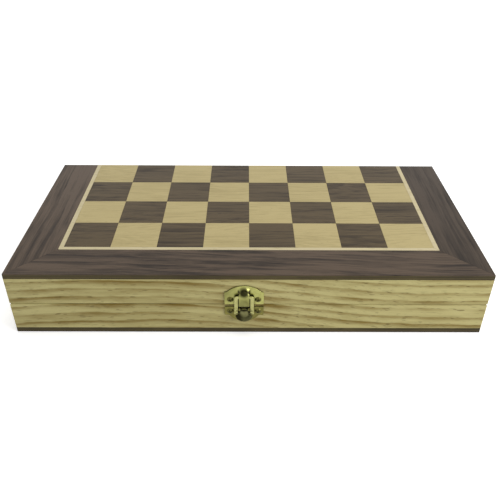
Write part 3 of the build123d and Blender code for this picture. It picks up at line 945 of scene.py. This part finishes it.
def slab(rows: list[list[tuple[Vector, Vector]]], closed: bool = False) -> Solid:
    """Makes a solid of bent sheet.

    Args:
        rows: a grid of points, each one a place on the outer face and the place behind it.
        closed: whether each row runs round and meets itself, with the first row at a pole.

    Returns:
        The solid.
    """
    columns, size = len(rows[0]), len(rows) * len(rows[0])
    points = [tuple(pair[side]) for side in (0, 1) for row in rows for pair in row]
    across = range(columns if closed else columns - 1)
    faces: list[tuple[int, ...]] = []
    for start in range(0, size - columns, columns):
        for c in across:
            a, b = start + c, start + (c + 1) % columns
            d, e = a + columns, b + columns
            faces += [(a, b, e, d), (size + d, size + e, size + b, size + a)]
    last = size - columns
    rim = [(last + c, last + (c + 1) % columns) for c in across]
    if not closed:
        rim += [(c + 1, c) for c in across]
        rim += [(a, a + columns) for a in range(0, last, columns)]
        rim += [(a + columns, a) for a in range(columns - 1, last, columns)]
    faces += [(a, b, size + b, size + a) for a, b in rim]
    return points, faces


@dataclass
class Repeater:
    """Puts a copy of one piece at each of its places, with a Geometry Nodes tree."""

    name: str = "repeat a piece"

    def tree(self) -> bpy.types.NodeTree:
        """Builds the tree once and finds it again after that.

        Returns:
            The Geometry Nodes tree.
        """
        if self.name in bpy.data.node_groups:
            return bpy.data.node_groups[self.name]
        tree = bpy.data.node_groups.new(self.name, "GeometryNodeTree")
        for label, direction, kind in (
            ("Places", "INPUT", "NodeSocketGeometry"),
            ("Piece", "INPUT", "NodeSocketObject"),
            ("Pieces", "OUTPUT", "NodeSocketGeometry"),
        ):
            tree.interface.new_socket(label, in_out=direction, socket_type=kind)
        add = partial(add_node, tree)
        given = add("NodeGroupInput").outputs
        source = add("GeometryNodeObjectInfo", {"Object": given["Piece"]}).outputs["Geometry"]
        turn = add("GeometryNodeInputNamedAttribute", {"Name": "turn"}, data_type="FLOAT_VECTOR")
        rotation = add("FunctionNodeEulerToRotation", {"Euler": turn.outputs["Attribute"]})
        inputs = {"Points": given["Places"], "Instance": source, "Rotation": rotation}
        placed = add("GeometryNodeInstanceOnPoints", inputs)
        real = add("GeometryNodeRealizeInstances", {"Geometry": placed})
        add("NodeGroupOutput", {"Pieces": real})
        return tree

    def spread(self, name: str, piece: Object, places: list[Matrix]) -> Object:
        """Copies a piece to its places and makes one plain mesh of the copies.

        Args:
            name: the new object's name.
            piece: the piece, made at the origin, which goes.
            places: where each copy goes, in mm.

        Returns:
            The object that holds all copies.
        """
        mesh = bpy.data.meshes.new(name)
        mesh.from_pydata([place.translation * MM for place in places], [], [])
        turn = mesh.attributes.new("turn", "FLOAT_VECTOR", "POINT")
        turn.data.foreach_set("vector", [a for place in places for a in place.to_euler()])
        whole = add_object(name, mesh)
        modifier = whole.modifiers.new("copies", "NODES")
        modifier.node_group = self.tree()
        for item in modifier.node_group.interface.items_tree:
            if item.name == "Piece":
                modifier[item.identifier] = piece
        settle(whole)
        bpy.data.objects.remove(piece)
        return whole


def finish_piece(piece: Object, body: str, finish: Finish, node: str) -> None:
    """Dresses a piece, lets it ride on its body and stand for its CAD node.

    Args:
        piece: the piece.
        body: the body it moves with.
        finish: what it is made of.
        node: the CAD node that it stands for.
    """
    dress(piece, finish)
    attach(piece, body)
    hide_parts(node)
    log.info("%s rides on %s", piece.name, body)


@dataclass(frozen=True)
class Kind:
    """One kind of man, in mm: its height, its columns, its turning above the foot, and its foot."""

    name: str
    height: float
    columns: tuple[int, ...]
    stations: list[Point]
    foot: float = 8.2


# Each man's turning, as (radius, height) from above its foot to its top
PAWN = [(3.6, 8.4), (2.8, 12.0), (2.6, 15.8), (4.2, 16.6), (4.4, 17.4), (3.0, 18.2), (2.9, 19.0)]
# The pawn's ball gets its points at these angles from its underside
PAWN += [
    (4.9 * math.sin(angle), 25.1 - 4.9 * math.cos(angle))
    for angle in (0.75, 1.1, 1.5, 1.9, 2.3, 2.7, 3.0)
]
ROOK = [
    (5.4, 8.6), (4.7, 13.0), (4.5, 20.0), (4.9, 22.2), (6.0, 23.2), (6.3, 24.4), (6.1, 25.6),
    (6.1, 27.0), (6.4, 28.0), (6.4, 33.8),
]
BISHOP = [
    (4.6, 9.0), (3.5, 14.0), (3.0, 20.0), (3.0, 24.0), (5.0, 25.0), (5.2, 26.0), (3.6, 27.0),
    (3.1, 28.2), (4.3, 30.4), (4.8, 32.6), (4.2, 35.8), (2.7, 38.6), (1.4, 39.8), (1.5, 40.6),
    (1.4, 41.4), (0.7, 41.9),
]
QUEEN = [
    (4.8, 9.4), (3.7, 15.0), (3.2, 22.0), (3.3, 28.4), (5.2, 29.6), (5.4, 30.6), (3.8, 31.8),
    (3.4, 33.0), (4.0, 36.6), (5.3, 41.0), (5.6, 42.2), (4.6, 42.8), (3.4, 43.4), (1.8, 44.6),
    (1.2, 45.2), (1.5, 46.4), (1.2, 47.6), (0.6, 47.9),
]
KING = [
    (4.9, 9.8), (3.9, 16.0), (3.4, 24.0), (3.5, 29.8), (5.4, 31.0), (5.6, 32.0), (4.0, 33.2),
    (3.6, 34.4), (4.2, 38.0), (5.2, 42.4), (5.5, 43.6), (4.6, 44.4), (2.8, 45.2), (1.6, 45.6),
]
KINDS = (
    Kind("pawns", 30.0, tuple(range(8)), PAWN, foot=7.0),
    Kind("rooks", 34.0, (0, 7), ROOK),
    Kind("knights", 38.0, (1, 6), [(6.2, 7.0), (6.4, 8.0), (6.0, 9.2), (5.0, 10.0)]),
    Kind("bishops", 42.0, (2, 5), BISHOP),
    Kind("queen", 48.0, (3,), QUEEN),
    Kind("king", 52.0, (4,), KING),
)
# The knight's head from the side, from its chest round its muzzle and ears to its mane
HORSE = [
    (5.0, 9.4), (4.9, 12.0), (4.2, 15.0), (3.2, 18.6), (1.4, 21.8), (0.9, 23.9), (2.6, 24.3),
    (4.6, 23.5), (6.2, 23.6), (7.1, 24.9), (7.2, 26.4), (6.2, 28.6), (4.4, 31.0), (3.0, 33.2),
    (2.5, 35.2), (1.9, 37.6), (0.6, 36.0), (-1.2, 34.9), (-1.8, 36.4), (-3.0, 34.2), (-4.3, 31.6),
    (-5.3, 28.6), (-6.0, 24.6), (-6.2, 20.4), (-5.7, 15.8), (-5.0, 12.0), (-5.0, 9.4),
]
# The cross on the king's crown
CROSS = [
    (-0.9, 45.4), (0.9, 45.4), (0.7, 48.4), (2.5, 48.2), (2.5, 50.6), (0.7, 50.3), (0.9, 51.9),
    (-0.9, 51.9), (-0.7, 50.3), (-2.5, 50.6), (-2.5, 48.2), (-0.7, 48.4),
]


@dataclass
class Men:
    """Sixteen men of one colour, each lying in its pocket, in mm."""

    half: Half
    shade: str
    wood: Wood
    pitch: float = 34.0
    axis_height: float = 13.2
    front_heads: float = -31.7
    rear_heads: float = 9.7
    magnet: float = 1.6
    magnet_margin: float = 1.2

    def places(self, kind: Kind) -> list[Matrix]:
        """Finds where a kind's men lie.

        Args:
            kind: the kind of man.

        Returns:
            A place for each, in mm, with the man's foot at its origin and its head along its Z.
        """
        pawn, lid = kind.name == "pawns", self.half is Half.LID
        head = self.front_heads if pawn else self.rear_heads
        along = Vector((0, 1 if pawn else -1, 0))
        up = Vector((0, 0, -1 if lid else 1))
        z = CASE_HEIGHT - self.axis_height if lid else self.axis_height
        found = []
        for column in kind.columns:
            x = (column - 3.5) * self.pitch * (-1 if lid else 1)
            foot = (x, head - along.y * kind.height, z)
            found.append(axes(up, along.cross(up), along, foot))
        return found

    def foot(self, radius: float) -> list[Point]:
        """Draws the rounded foot that every man has.

        Args:
            radius: its radius.

        Returns:
            Its profile, up to the ring above it.
        """
        inset_and_height = (
            (0.3, 0.0), (0.0, 0.3), (0.0, 1.5), (0.3, 2.3), (1.1, 2.9), (1.5, 3.1), (1.3, 3.6),
            (1.7, 4.1), (2.3, 4.3),
        )
        return [(radius - inset, self.magnet + height) for inset, height in inset_and_height]

    def man(self, kind: Kind) -> Object:
        """Turns one man and carves what a lathe can't make.

        Args:
            kind: the kind of man.

        Returns:
            The man, standing on its magnet at the origin.
        """
        profile = eased([*self.foot(kind.foot), *kind.stations])
        top = profile[-1][1] + 0.05
        turned = make_object("turned", lathe([(0.0, self.magnet), *profile, (0.0, top)]))
        parts = [turned]
        if kind.name == "rooks":
            rim, well_floor, gap_floor, over = 4.2, 30.0, 31.6, 40.0
            well = lathe([(0, well_floor), (rim, well_floor), (rim, over), (0, over)], 24)
            tools = [make_object("well", well)]
            gap = oblong(9, -1.2, 1.2)
            for turn in (0, 90):
                spin = Matrix.Rotation(math.radians(turn), 4, "Z")
                tools.append(sheet_metal("gap", [gap], gap_floor, over, 0.01, spin))
            cut(turned, tools)
        elif kind.name == "knights":
            parts.append(sheet_metal("head", [HORSE], -3.4, 3.4, 1.3, UPRIGHT))
        elif kind.name == "bishops":
            middle, lean, saw = (4.4, 0, 35.6), math.radians(-58), 0.4
            slope = Matrix.Translation(middle) @ Matrix.Rotation(lean, 4, "Y")
            cut(turned, [sheet_metal("saw", [oblong(2.6, -8, 8)], -saw, saw, 0.01, slope)])
        elif kind.name == "king":
            parts.append(sheet_metal("cross", [CROSS], -0.85, 0.85, 0.3, UPRIGHT))
        return join("man", parts)

    def make(self) -> None:
        """Makes every kind of man and the magnets under them."""
        repeater, body = Repeater(), self.half.value
        for kind in KINDS:
            name = f"{self.shade}_{kind.name}"
            men = repeater.spread(f"{name}_turned", self.man(kind), self.places(kind))
            finish_piece(men, body, self.wood, name)
        discs = []
        for kind in KINDS:
            radius, edge, thick = kind.foot - self.magnet_margin, 0.25, self.magnet
            profile = [(0, 0), (radius - edge, 0), (radius, edge), (radius, thick), (0, thick)]
            disc = make_object("disc", lathe(profile, 24))
            discs.append(repeater.spread("discs", disc, self.places(kind)))
        magnets = join(f"{self.shade}_magnet_discs", discs)
        finish_piece(magnets, body, NICKEL, f"{self.shade}_men_magnets")


@dataclass
class Screw:
    """A screw, in mm: its head, the recess for the driver, and the shank behind it."""

    kind: Head
    radius: float
    shank: float
    length: float
    rise: float = 0.9
    sides: int = 48
    rings: int = 12

    def height(self, x: float, y: float) -> float:
        """Tells how high the head stands at one place.

        Args:
            x: the place along the slot, from the head's middle.
            y: the place across the slot.

        Returns:
            The height in mm over the head's rim, less the recess.
        """
        if self.kind is Head.FLUSH_WITH_SLOT:
            return -0.4 if abs(y) < 0.17 * self.radius else 0.0
        away, short, long = math.hypot(x, y), min(abs(x), abs(y)), max(abs(x), abs(y))
        arm = long < 0.52 * self.radius and short < 0.13 * self.radius
        recess = 0.5 if arm or away < 0.24 * self.radius else 0.0
        return self.rise * (1 - (away / self.radius) ** 2.6 - recess)

    def solid(self) -> Object:
        """Makes the screw with its head's underside at the origin, facing +Z.

        Returns:
            The screw.
        """
        flush = self.kind is Head.FLUSH_WITH_SLOT
        seat = -0.1 if flush else -0.01
        rows = []
        for ring in range(self.rings + 1):
            away = self.radius * ring / self.rings
            row = []
            for side in range(self.sides):
                angle = math.tau * side / self.sides
                x, y = away * math.cos(angle), away * math.sin(angle)
                row.append((Vector((x, y, self.height(x, y))), Vector((x, y, seat))))
            rows.append(row)
        neck = [(0, -self.length), (self.shank, -self.length)]
        if flush:
            neck += [(self.shank, -0.85), (self.radius, seat), (0, seat)]
        else:
            neck += [(self.shank, 0.0), (0, 0.0)]
        head = make_object("head", slab(rows, closed=True))
        return join("screw", [head, make_object("shank", lathe(neck, 12))])


@dataclass(frozen=True)
class LeverOutline:
    """The lever from the front, in mm: a round lip, a collar over it and a flat pad on top."""

    centre: float = 18.3
    lip: float = 5.35
    wing_top: float = 17.9
    collar: float = 3.6
    collar_top: float = 19.4
    pad: float = 2.5
    top: float = 21.5

    def reach(self, angle: float) -> float:
        """Tells how far the sheet goes from the lip's middle.

        Args:
            angle: the direction, in radians from upward.

        Returns:
            The distance to the sheet's edge.
        """
        across, up = max(abs(math.sin(angle)), 1e-6), math.cos(angle)
        if up * self.lip < self.wing_top - self.centre:
            return self.lip
        if up <= 0:
            return self.collar / across
        up = max(up, 1e-6)
        collar = min(self.collar / across, (self.collar_top - self.centre) / up)
        pad = min(self.pad / across, (self.top - self.centre) / up)
        return max(collar, pad)


@dataclass
class Latch:
    """The toggle latch, in mm: two stamped plates, the lever, the loop, two pins and four screws.

    Its points are (across, up) seen from the front, and (outward, up) seen from the side.
    """

    x: float = -3.2
    front: float = -75.0
    sheet: float = 0.8
    width: float = 24.6
    edge: float = 0.14
    side_edge: float = 0.1
    hook_width: float = 6.6
    lug: float = 2.6
    window_low: float = 29.1
    lever_pin: Point = (2.6, 21.2)
    lever_web: float = 3.3
    lug_radius: float = 1.3
    loop_pin: Point = (2.2, 18.2)
    loop_inner: float = 3.75
    loop_arm: float = 2.4
    loop_thick: float = 1.0
    pin_radius: float = 0.6

    @property
    def face_on(self) -> Matrix:
        """Takes (across, up, outward) to the case's frame."""
        return Matrix.Translation((self.x, self.front, 0)) @ UPRIGHT

    def side_on(self, across: float) -> Matrix:
        """Takes (outward, up, to the left) to the case's frame.

        Args:
            across: where the side lies, measured from the latch's middle.

        Returns:
            The matrix.
        """
        return axes((0, -1, 0), (0, 0, 1), (-1, 0, 0), (self.x + across, self.front, 0))

    def sides(self, name: str, outline: list[Point], across: float, thick: float) -> list[Object]:
        """Cuts the same upright side twice, for the left and the right.

        Args:
            name: its name.
            outline: its outline.
            across: how far each one's middle lies from the latch's.
            thick: its thickness.

        Returns:
            The two sides.
        """
        half = thick / 2
        return [
            sheet_metal(name, [outline], -half, half, self.side_edge, self.side_on(place))
            for place in (-across, across)
        ]

    def make(self) -> None:
        """Makes the whole latch."""
        self.strike_plate()
        self.base_plate()
        self.lever()
        self.loop()
        self.pins()
        self.screws()

    def strike_plate(self) -> None:
        """Stamps the upper plate with its arch and window, and bends out its hook."""
        side, low, ear, arch, top = self.width / 2, 23.7, 33.3, 10.8, 38.0
        corner, shear, nick, half_window, window_top = 0.5, 0.9, 0.4, 3.6, 32.9
        outline = [(corner - side, low), (side - corner, low)]
        outline += arc((side - corner, low + corner), corner, -90, 0, 3)[1:]
        outline += [(side, ear - shear), (side - shear, ear)]
        outline += bow((arch, ear), (0, top), (-arch, ear))
        outline += [(nick - side, ear), (-side, ear - nick), (-side, low + corner)]
        window = arc((0, window_top), half_window, 0, 180, 20)
        window += [(-half_window, self.window_low), (half_window, self.window_low)]
        plate = sheet_metal("plate", [outline, window], 0, self.sheet, self.edge, self.face_on)
        cheek = [(0.4, 23.9), (3.2, 23.9), (3.7, 24.2), (3.9, 24.8), (3.9, 29.0), (0.4, 29.0)]
        cheeks = self.sides("cheek", cheek, self.hook_width / 2 - 0.42, self.sheet)
        bottom = oblong(3.2, self.window_low - self.sheet, self.window_low)
        shelf = sheet_metal("shelf", [bottom], 0.4, 3.8, 0.08, self.face_on)
        whole = join("strike_plate_stamped", [plate, self.hook(), *cheeks, shelf, self.hood()])
        finish_piece(whole, "lid", STRIKE_BRASS, "strike_plate")

    def hook(self) -> Object:
        """Bends the hook: a strip that comes out of the plate, runs up and closes to a round tip.

        Returns:
            The hook.
        """
        bend, tip, half_sheet, round_edge, crown = 31.9, 35.2, self.sheet / 2, 0.12, 0.75
        path = [
            (0.5, 24.1), (1.5, 24.1), (2.6, 24.1), (3.5, 24.25), (3.9, 24.7), (4.0, 25.5),
            (4.0, 26.6), (3.95, 28.0), (3.85, 29.4), (3.75, 30.6), (3.73, 31.3), (3.7, bend),
            (3.45, 32.6), (3.15, 33.3), (2.85, 33.9), (2.5, 34.5), (2.15, 34.9), (1.9, 35.15),
        ]
        rows = []
        for i, (out, up) in enumerate(path):
            behind, ahead = Vector(path[max(i - 1, 0)]), Vector(path[min(i + 1, len(path) - 1)])
            along = (ahead - behind).normalized()
            taper = max(0.0, min(1.0, (up - bend) / (tip - bend)))
            reach = self.hook_width / 2 * math.sqrt(max(0.02, 1 - taper**2.2))
            row = []
            for k in range(-6, 7):
                across = k / 6
                hollow = crown * taper**0.6 * across**2 if taper else 0.0
                edge = round_edge if abs(k) == 6 else 0.0
                row.append(
                    tuple(
                        self.face_on
                        @ Vector((across * reach, up - along.x * depth, out + along.y * depth))
                        for depth in (half_sheet - hollow - edge, edge - half_sheet)
                    )
                )
            rows.append(row)
        return make_object("hook", slab(rows))

    def hood(self) -> Object:
        """Presses the hood over the window's arch.

        Returns:
            The hood.
        """
        centre, start, turn, steps, thick = 32.7, 34, 112, 32, 0.6
        section = ((4.7, 0.7), (4.3, 0.95), (3.85, 1.4), (3.4, 1.9), (3.0, 2.25), (2.7, 2.35))
        rows = []
        for k in range(steps + 1):
            angle = math.radians(start + turn * k / steps)
            row = []
            for radius, out in section:
                x, z = radius * math.cos(angle), centre + radius * math.sin(angle)
                depths = (out, max(out - thick, 0.1))
                row.append(tuple(self.face_on @ Vector((x, z, depth)) for depth in depths))
            rows.append(row)
        return make_object("hood", slab(rows))

    def base_plate(self) -> None:
        """Stamps the lower plate with its rounded foot, and bends out its two lugs."""
        side, top, ear, foot, half, notch = self.width / 2, 21.8, 15.0, 10.0, 9.25, 19.4
        nick, corner = 0.4, 0.5
        right = [(side - nick, ear), (side, ear + nick), (side, top - corner), (side - corner, top)]
        right += [(self.lug, top), (self.lug, notch)]
        left = [(-x, y) for x, y in reversed(right)]
        outline = [*bow((-half, ear), (0, foot), (half, ear)), *right, *left]
        plate = sheet_metal("plate", [outline], 0, self.sheet, self.edge, self.face_on)
        lug = [(0.0, notch), (self.sheet, notch)]
        lug += arc(self.lever_pin, self.lug_radius, -62, 122, 14)
        lug += [(self.sheet, top), (0.0, top)]
        lugs = self.sides("lug", lug, self.lug + self.sheet / 2, self.sheet)
        whole = join("latch_base_plate_stamped", [plate, *lugs])
        finish_piece(whole, "base", DULL_BRASS, "latch_base_plate")

    def lever(self) -> None:
        """Presses the lever: a flat pad that runs out into a dished finger lip."""
        shape, sides, rings, round_edge = LeverOutline(), 96, 18, 0.12
        flat, slope, rise, sink = 2.6, 1.9, 1.3, 0.5
        rows = []
        for ring in range(rings + 1):
            edge = round_edge if ring == rings else 0.0
            row = []
            for side in range(sides):
                angle = math.tau * side / sides
                away = shape.reach(angle) * ring / rings
                x, z = away * math.sin(angle), shape.centre + away * math.cos(angle)
                share = max(0.0, min(1.0, (away - flat) / slope))
                if z > shape.centre and abs(x) <= shape.pad + 1e-6:
                    share = 0.0
                out = self.lever_web + rise * share * share * (3 - 2 * share) - sink
                depths = (out + self.sheet - edge, out + 0.1 + edge)
                row.append(tuple(self.face_on @ Vector((x, z, depth)) for depth in depths))
            rows.append(row)
        dish, web = make_object("dish", slab(rows, closed=True)), self.lever_web + 0.4
        flange = [*arc(self.loop_pin, 1.0, 180, 290, 8), (web, self.loop_pin[1])]
        flange += [(web, shape.top - 0.8), *arc(self.lever_pin, self.lug_radius, 20, 165, 10)]
        flanges = self.sides("flange", flange, shape.pad - self.sheet / 2, self.sheet)
        whole = join("latch_lever_pressed", [dish, *flanges])
        finish_piece(whole, "latch_lever", WORN_BRASS, "latch_lever")

    def loop(self) -> None:
        """Bends the loop: two flat arms, a crossbar and an eye at each foot."""
        inner, outer, (out, low) = self.loop_inner, self.loop_inner + self.loop_arm, self.loop_pin
        bottom, top, corner = 29.3, 31.1, 1.5
        outline = [(-outer, low), (-inner, low), (-inner, bottom)]
        outline += [(inner, bottom), (inner, low), (outer, low)]
        outline += arc((outer - corner, top - corner), corner, 0, 90, 6)
        outline += arc((corner - outer, top - corner), corner, 90, 180, 6)
        half = self.loop_thick / 2
        arms = sheet_metal("arms", [outline], out - half, out + half, 0.22, self.face_on)
        eye = arc(self.loop_pin, 1.1, 0, 345, 23)
        eyes = self.sides("eye", eye, inner + self.loop_arm / 2, self.loop_arm)
        whole = join("latch_loop_bent", [arms, *eyes])
        finish_piece(whole, "latch_loop", RUBBED_BRASS, "latch_loop")

    def pins(self) -> None:
        """Makes the two pins, with their ends dressed over."""
        for node, (out, up), length, body in (
            ("lever_pin", self.lever_pin, 6.8, "base"),
            ("loop_pin", self.loop_pin, 12.3, "latch_loop"),
        ):
            place = self.side_on(0) @ Matrix.Translation((out, up, 0))
            profile = bar(self.pin_radius, length, 0.2)
            pin = make_object(f"{node}_round", lathe(profile, 20), place)
            finish_piece(pin, body, BRASS, node)

    def screws(self) -> None:
        """Makes the two screws of each plate, each pair at two different turns."""
        for node, body, spacing, up in (
            ("latch_base_screws", "base", 17.5, 18.4),
            ("strike_plate_screws", "lid", 17.4, 27.6),
        ):
            screw = Screw(Head.DOMED_WITH_CROSS, radius=2.05, shank=0.9, length=6.8).solid()
            places = [
                self.face_on
                @ Matrix.Translation((across, up, self.sheet))
                @ Matrix.Rotation(math.radians(turn), 4, "Z")
                for across, turn in ((-spacing / 2, 22), (spacing / 2, 61))
            ]
            made = Repeater().spread(f"{node}_crossed", screw, places)
            finish_piece(made, body, SCREW_BRASS, node)


@dataclass
class Hinges:
    """Two butt hinges on the rear edge, in mm: rolled leaves, pins and countersunk screws."""

    spacing: float = 190.0
    length: float = 25.0
    leaf: float = 0.9
    leaf_edge: float = 0.06
    depth: float = 7.0
    barrel: float = 1.8
    barrel_gap: float = 0.3
    pin: float = 0.8
    axis: Point = (75.1, 23.0)
    rear: float = 75.0
    middle: float = 8.2
    knuckle_gap: float = 0.2
    half_height: float = 22.9
    screw_spacing: float = 15.0
    screw_inset: float = 4.2

    def along_axis(self, x: float) -> Matrix:
        """Stands a turned piece's axis along the hinge's.

        Args:
            x: where its middle lies.

        Returns:
            The matrix.
        """
        return axes((0, 1, 0), (0, 0, 1), (1, 0, 0), (x, *self.axis))

    def leaf_outline(self, x: float, knuckles: list[Point]) -> list[Point]:
        """Draws a leaf with a finger under each of its knuckles.

        Args:
            x: the hinge's middle.
            knuckles: the middle of each knuckle, measured from the hinge's, and its width.

        Returns:
            The outline, seen from above.
        """
        tip, front = self.axis[0], self.rear - self.depth
        edge = tip - self.barrel - self.barrel_gap
        left, right = x - self.length / 2, x + self.length / 2
        points = [(left, front), (right, front), (right, edge)]
        for middle, width in reversed(knuckles):
            start, end = x + middle + width / 2, x + middle - width / 2
            points += [(start, edge), (start, tip), (end, tip), (end, edge)]
        points.append((left, edge))
        return [point for i, point in enumerate(points) if i == 0 or point != points[i - 1]]

    def make(self) -> None:
        """Makes the leaves, the screws and the pins of both hinges."""
        hinges = (-self.spacing / 2, self.spacing / 2)
        outer = (self.length - self.middle) / 2 - self.knuckle_gap
        offset = self.length / 2 - outer / 2
        for half in Half:
            lid, name = half is Half.LID, half.value
            top = CASE_HEIGHT - self.half_height if lid else self.half_height
            low = top if lid else top - self.leaf
            knuckles = [(0.0, self.middle)] if lid else [(-offset, outer), (offset, outer)]
            parts = []
            for x in hinges:
                outline = self.leaf_outline(x, knuckles)
                parts.append(
                    sheet_metal("leaf", [outline], low, low + self.leaf, self.leaf_edge, HERE)
                )
                for middle, width in knuckles:
                    solid = lathe(bar(self.barrel, width, 0.15))
                    parts.append(make_object("knuckle", solid, self.along_axis(x + middle)))
            leaves = join(f"{name}_hinge_leaves_rolled", parts)
            finish_piece(leaves, name, BRASS, f"{name}_hinge_leaves")
            screw = Screw(Head.FLUSH_WITH_SLOT, radius=1.7, shank=0.8, length=8.0).solid()
            flip = Matrix.Rotation(math.pi, 4, "X") if lid else HERE
            # Each slot stops at a turn of its own
            places = [
                Matrix.Translation((x + side, self.rear - self.screw_inset, top))
                @ flip
                @ Matrix.Rotation(0.7 * x + side, 4, "Z")
                for x in hinges
                for side in (-self.screw_spacing / 2, self.screw_spacing / 2)
            ]
            screws = Repeater().spread(f"{name}_hinge_screws_slotted", screw, places)
            finish_piece(screws, name, BRASS, f"{name}_hinge_screws")
        pin = make_object("pin", lathe(bar(self.pin, self.length, 0.2), 16))
        pins = Repeater().spread("hinge_pins_round", pin, [self.along_axis(x) for x in hinges])
        finish_piece(pins, "base", BRASS, "hinge_pins")


def background_rays(add: Adder) -> Node:
    """Tells the rays that see the background: the camera's, off metal and through glass.

    Args:
        add: what adds a node to the material or the world that asks.

    Returns:
        One for such a ray and zero for the rest.
    """
    path = add("ShaderNodeLightPath").outputs
    seen = path["Is Camera Ray"]
    for kind in ("Is Glossy Ray", "Is Transmission Ray"):
        seen = add(MATH, (seen, path[kind]), operation="MAXIMUM")
    return seen


@dataclass
class Studio:
    """The camera at the photograph's angle, the floor, the lamps and the room.

    The camera's place is in mm and its angles in degrees. The floor and the lamps are in metres.
    """

    camera_mm: Place = (-2.07, -362.37, 258.99)
    pitch: float = 34.119
    yaw: float = 0.461
    roll: float = 0.434
    lens_mm: float = 42.436
    floor_size: float = 6.0
    floor_drop: float = 0.0002
    room_light: float = 0.34

    def build(self) -> None:
        """Makes the camera, the floor and the light."""
        self.camera()
        self.floor()
        self.lamps()
        self.world()
        bpy.context.scene.view_settings.view_transform = "Standard"

    def camera(self) -> None:
        """Puts the camera where the photograph was taken from."""
        pitch, yaw, roll = (math.radians(angle) for angle in (self.pitch, self.yaw, self.roll))
        level = Vector((math.cos(yaw), -math.sin(yaw), 0))
        forward = Vector((math.sin(yaw), math.cos(yaw), 0))
        ahead = forward * math.cos(pitch) - Vector((0, 0, math.sin(pitch)))
        above = level.cross(ahead)
        right = level * math.cos(roll) + above * math.sin(roll)
        up = above * math.cos(roll) - level * math.sin(roll)
        data = bpy.data.cameras.new("camera")
        data.lens = self.lens_mm
        data.sensor_width = 36.0
        data.clip_start = 0.01
        camera = add_object("camera", data)
        camera.matrix_world = axes(right, up, -ahead, Vector(self.camera_mm) * MM)
        bpy.context.scene.camera = camera

    def floor(self) -> None:
        """Lays a white floor that shows the soft shadow, a hair under the case."""
        size, low = self.floor_size, -self.floor_drop
        mesh = bpy.data.meshes.new("floor")
        corners = [(-size, -size, low), (size, -size, low), (size, size, low), (-size, size, low)]
        mesh.from_pydata(corners, [], [(0, 1, 2, 3)])
        # White paper: matt, and so pale that only the shadow by the case shows on it
        material, add, mm = new_material("white paper")
        away = add(VECTOR, (mm,), operation="LENGTH")
        # The lamps light it less with distance, and its own glow makes up for that
        near_mm, far_mm, near_glow, far_glow = 350, 1100, 0.45, 1.0
        glow = add(RANGE, (away, near_mm, far_mm, near_glow, far_glow))
        glow = add(MATH, (background_rays(add), glow), operation="MULTIPLY")
        looks = {"Base Color": linear("f6f6f6"), "Roughness": 0.9}
        white = linear("ffffff")
        close_material(add, {**looks, "Emission Color": white, "Emission Strength": glow})
        mesh.materials.append(material)
        add_object("floor", mesh)

    def lamps(self) -> None:
        """Sets a large soft box above and a small one in front to the right."""
        target = Vector((0, 0, 0.02))
        for name, place, power, size in (
            ("top", (0.1, 0.1, 1.5), 11.5, 1.2),
            ("front", (0.74, -0.5, 0.42), 4.5, 0.45),
        ):
            light = bpy.data.lights.new(name, "AREA")
            light.energy = power
            light.size = size
            lamp = add_object(name, light)
            lamp.location = place
            lamp.rotation_euler = (target - Vector(place)).to_track_quat("-Z", "Y").to_euler()

    def world(self) -> None:
        """Makes the room: white where it is seen, and a dim even light on matt surfaces."""
        world = bpy.data.worlds.new("room")
        world.use_nodes = True
        world.node_tree.nodes.clear()
        add = partial(add_node, world.node_tree)
        ends = (1 - self.room_light, self.room_light)
        strength = add(MATH, (background_rays(add), *ends), operation="MULTIPLY_ADD")
        light = add("ShaderNodeBackground", (linear("ffffff"), strength))
        add("ShaderNodeOutputWorld", (light,))
        bpy.context.scene.world = world


def main() -> None:
    """Builds every piece of the case and its surroundings."""
    logging.basicConfig(level=logging.INFO, format="%(name)s: %(message)s")
    for half in Half:
        CaseHalf(half).dress()
    Men(Half.BASE, "light", BOXWOOD).make()
    Men(Half.LID, "dark", EBONISED).make()
    Latch().make()
    Hinges().make()
    Studio().build()


if __name__ == "__main__":
    main()
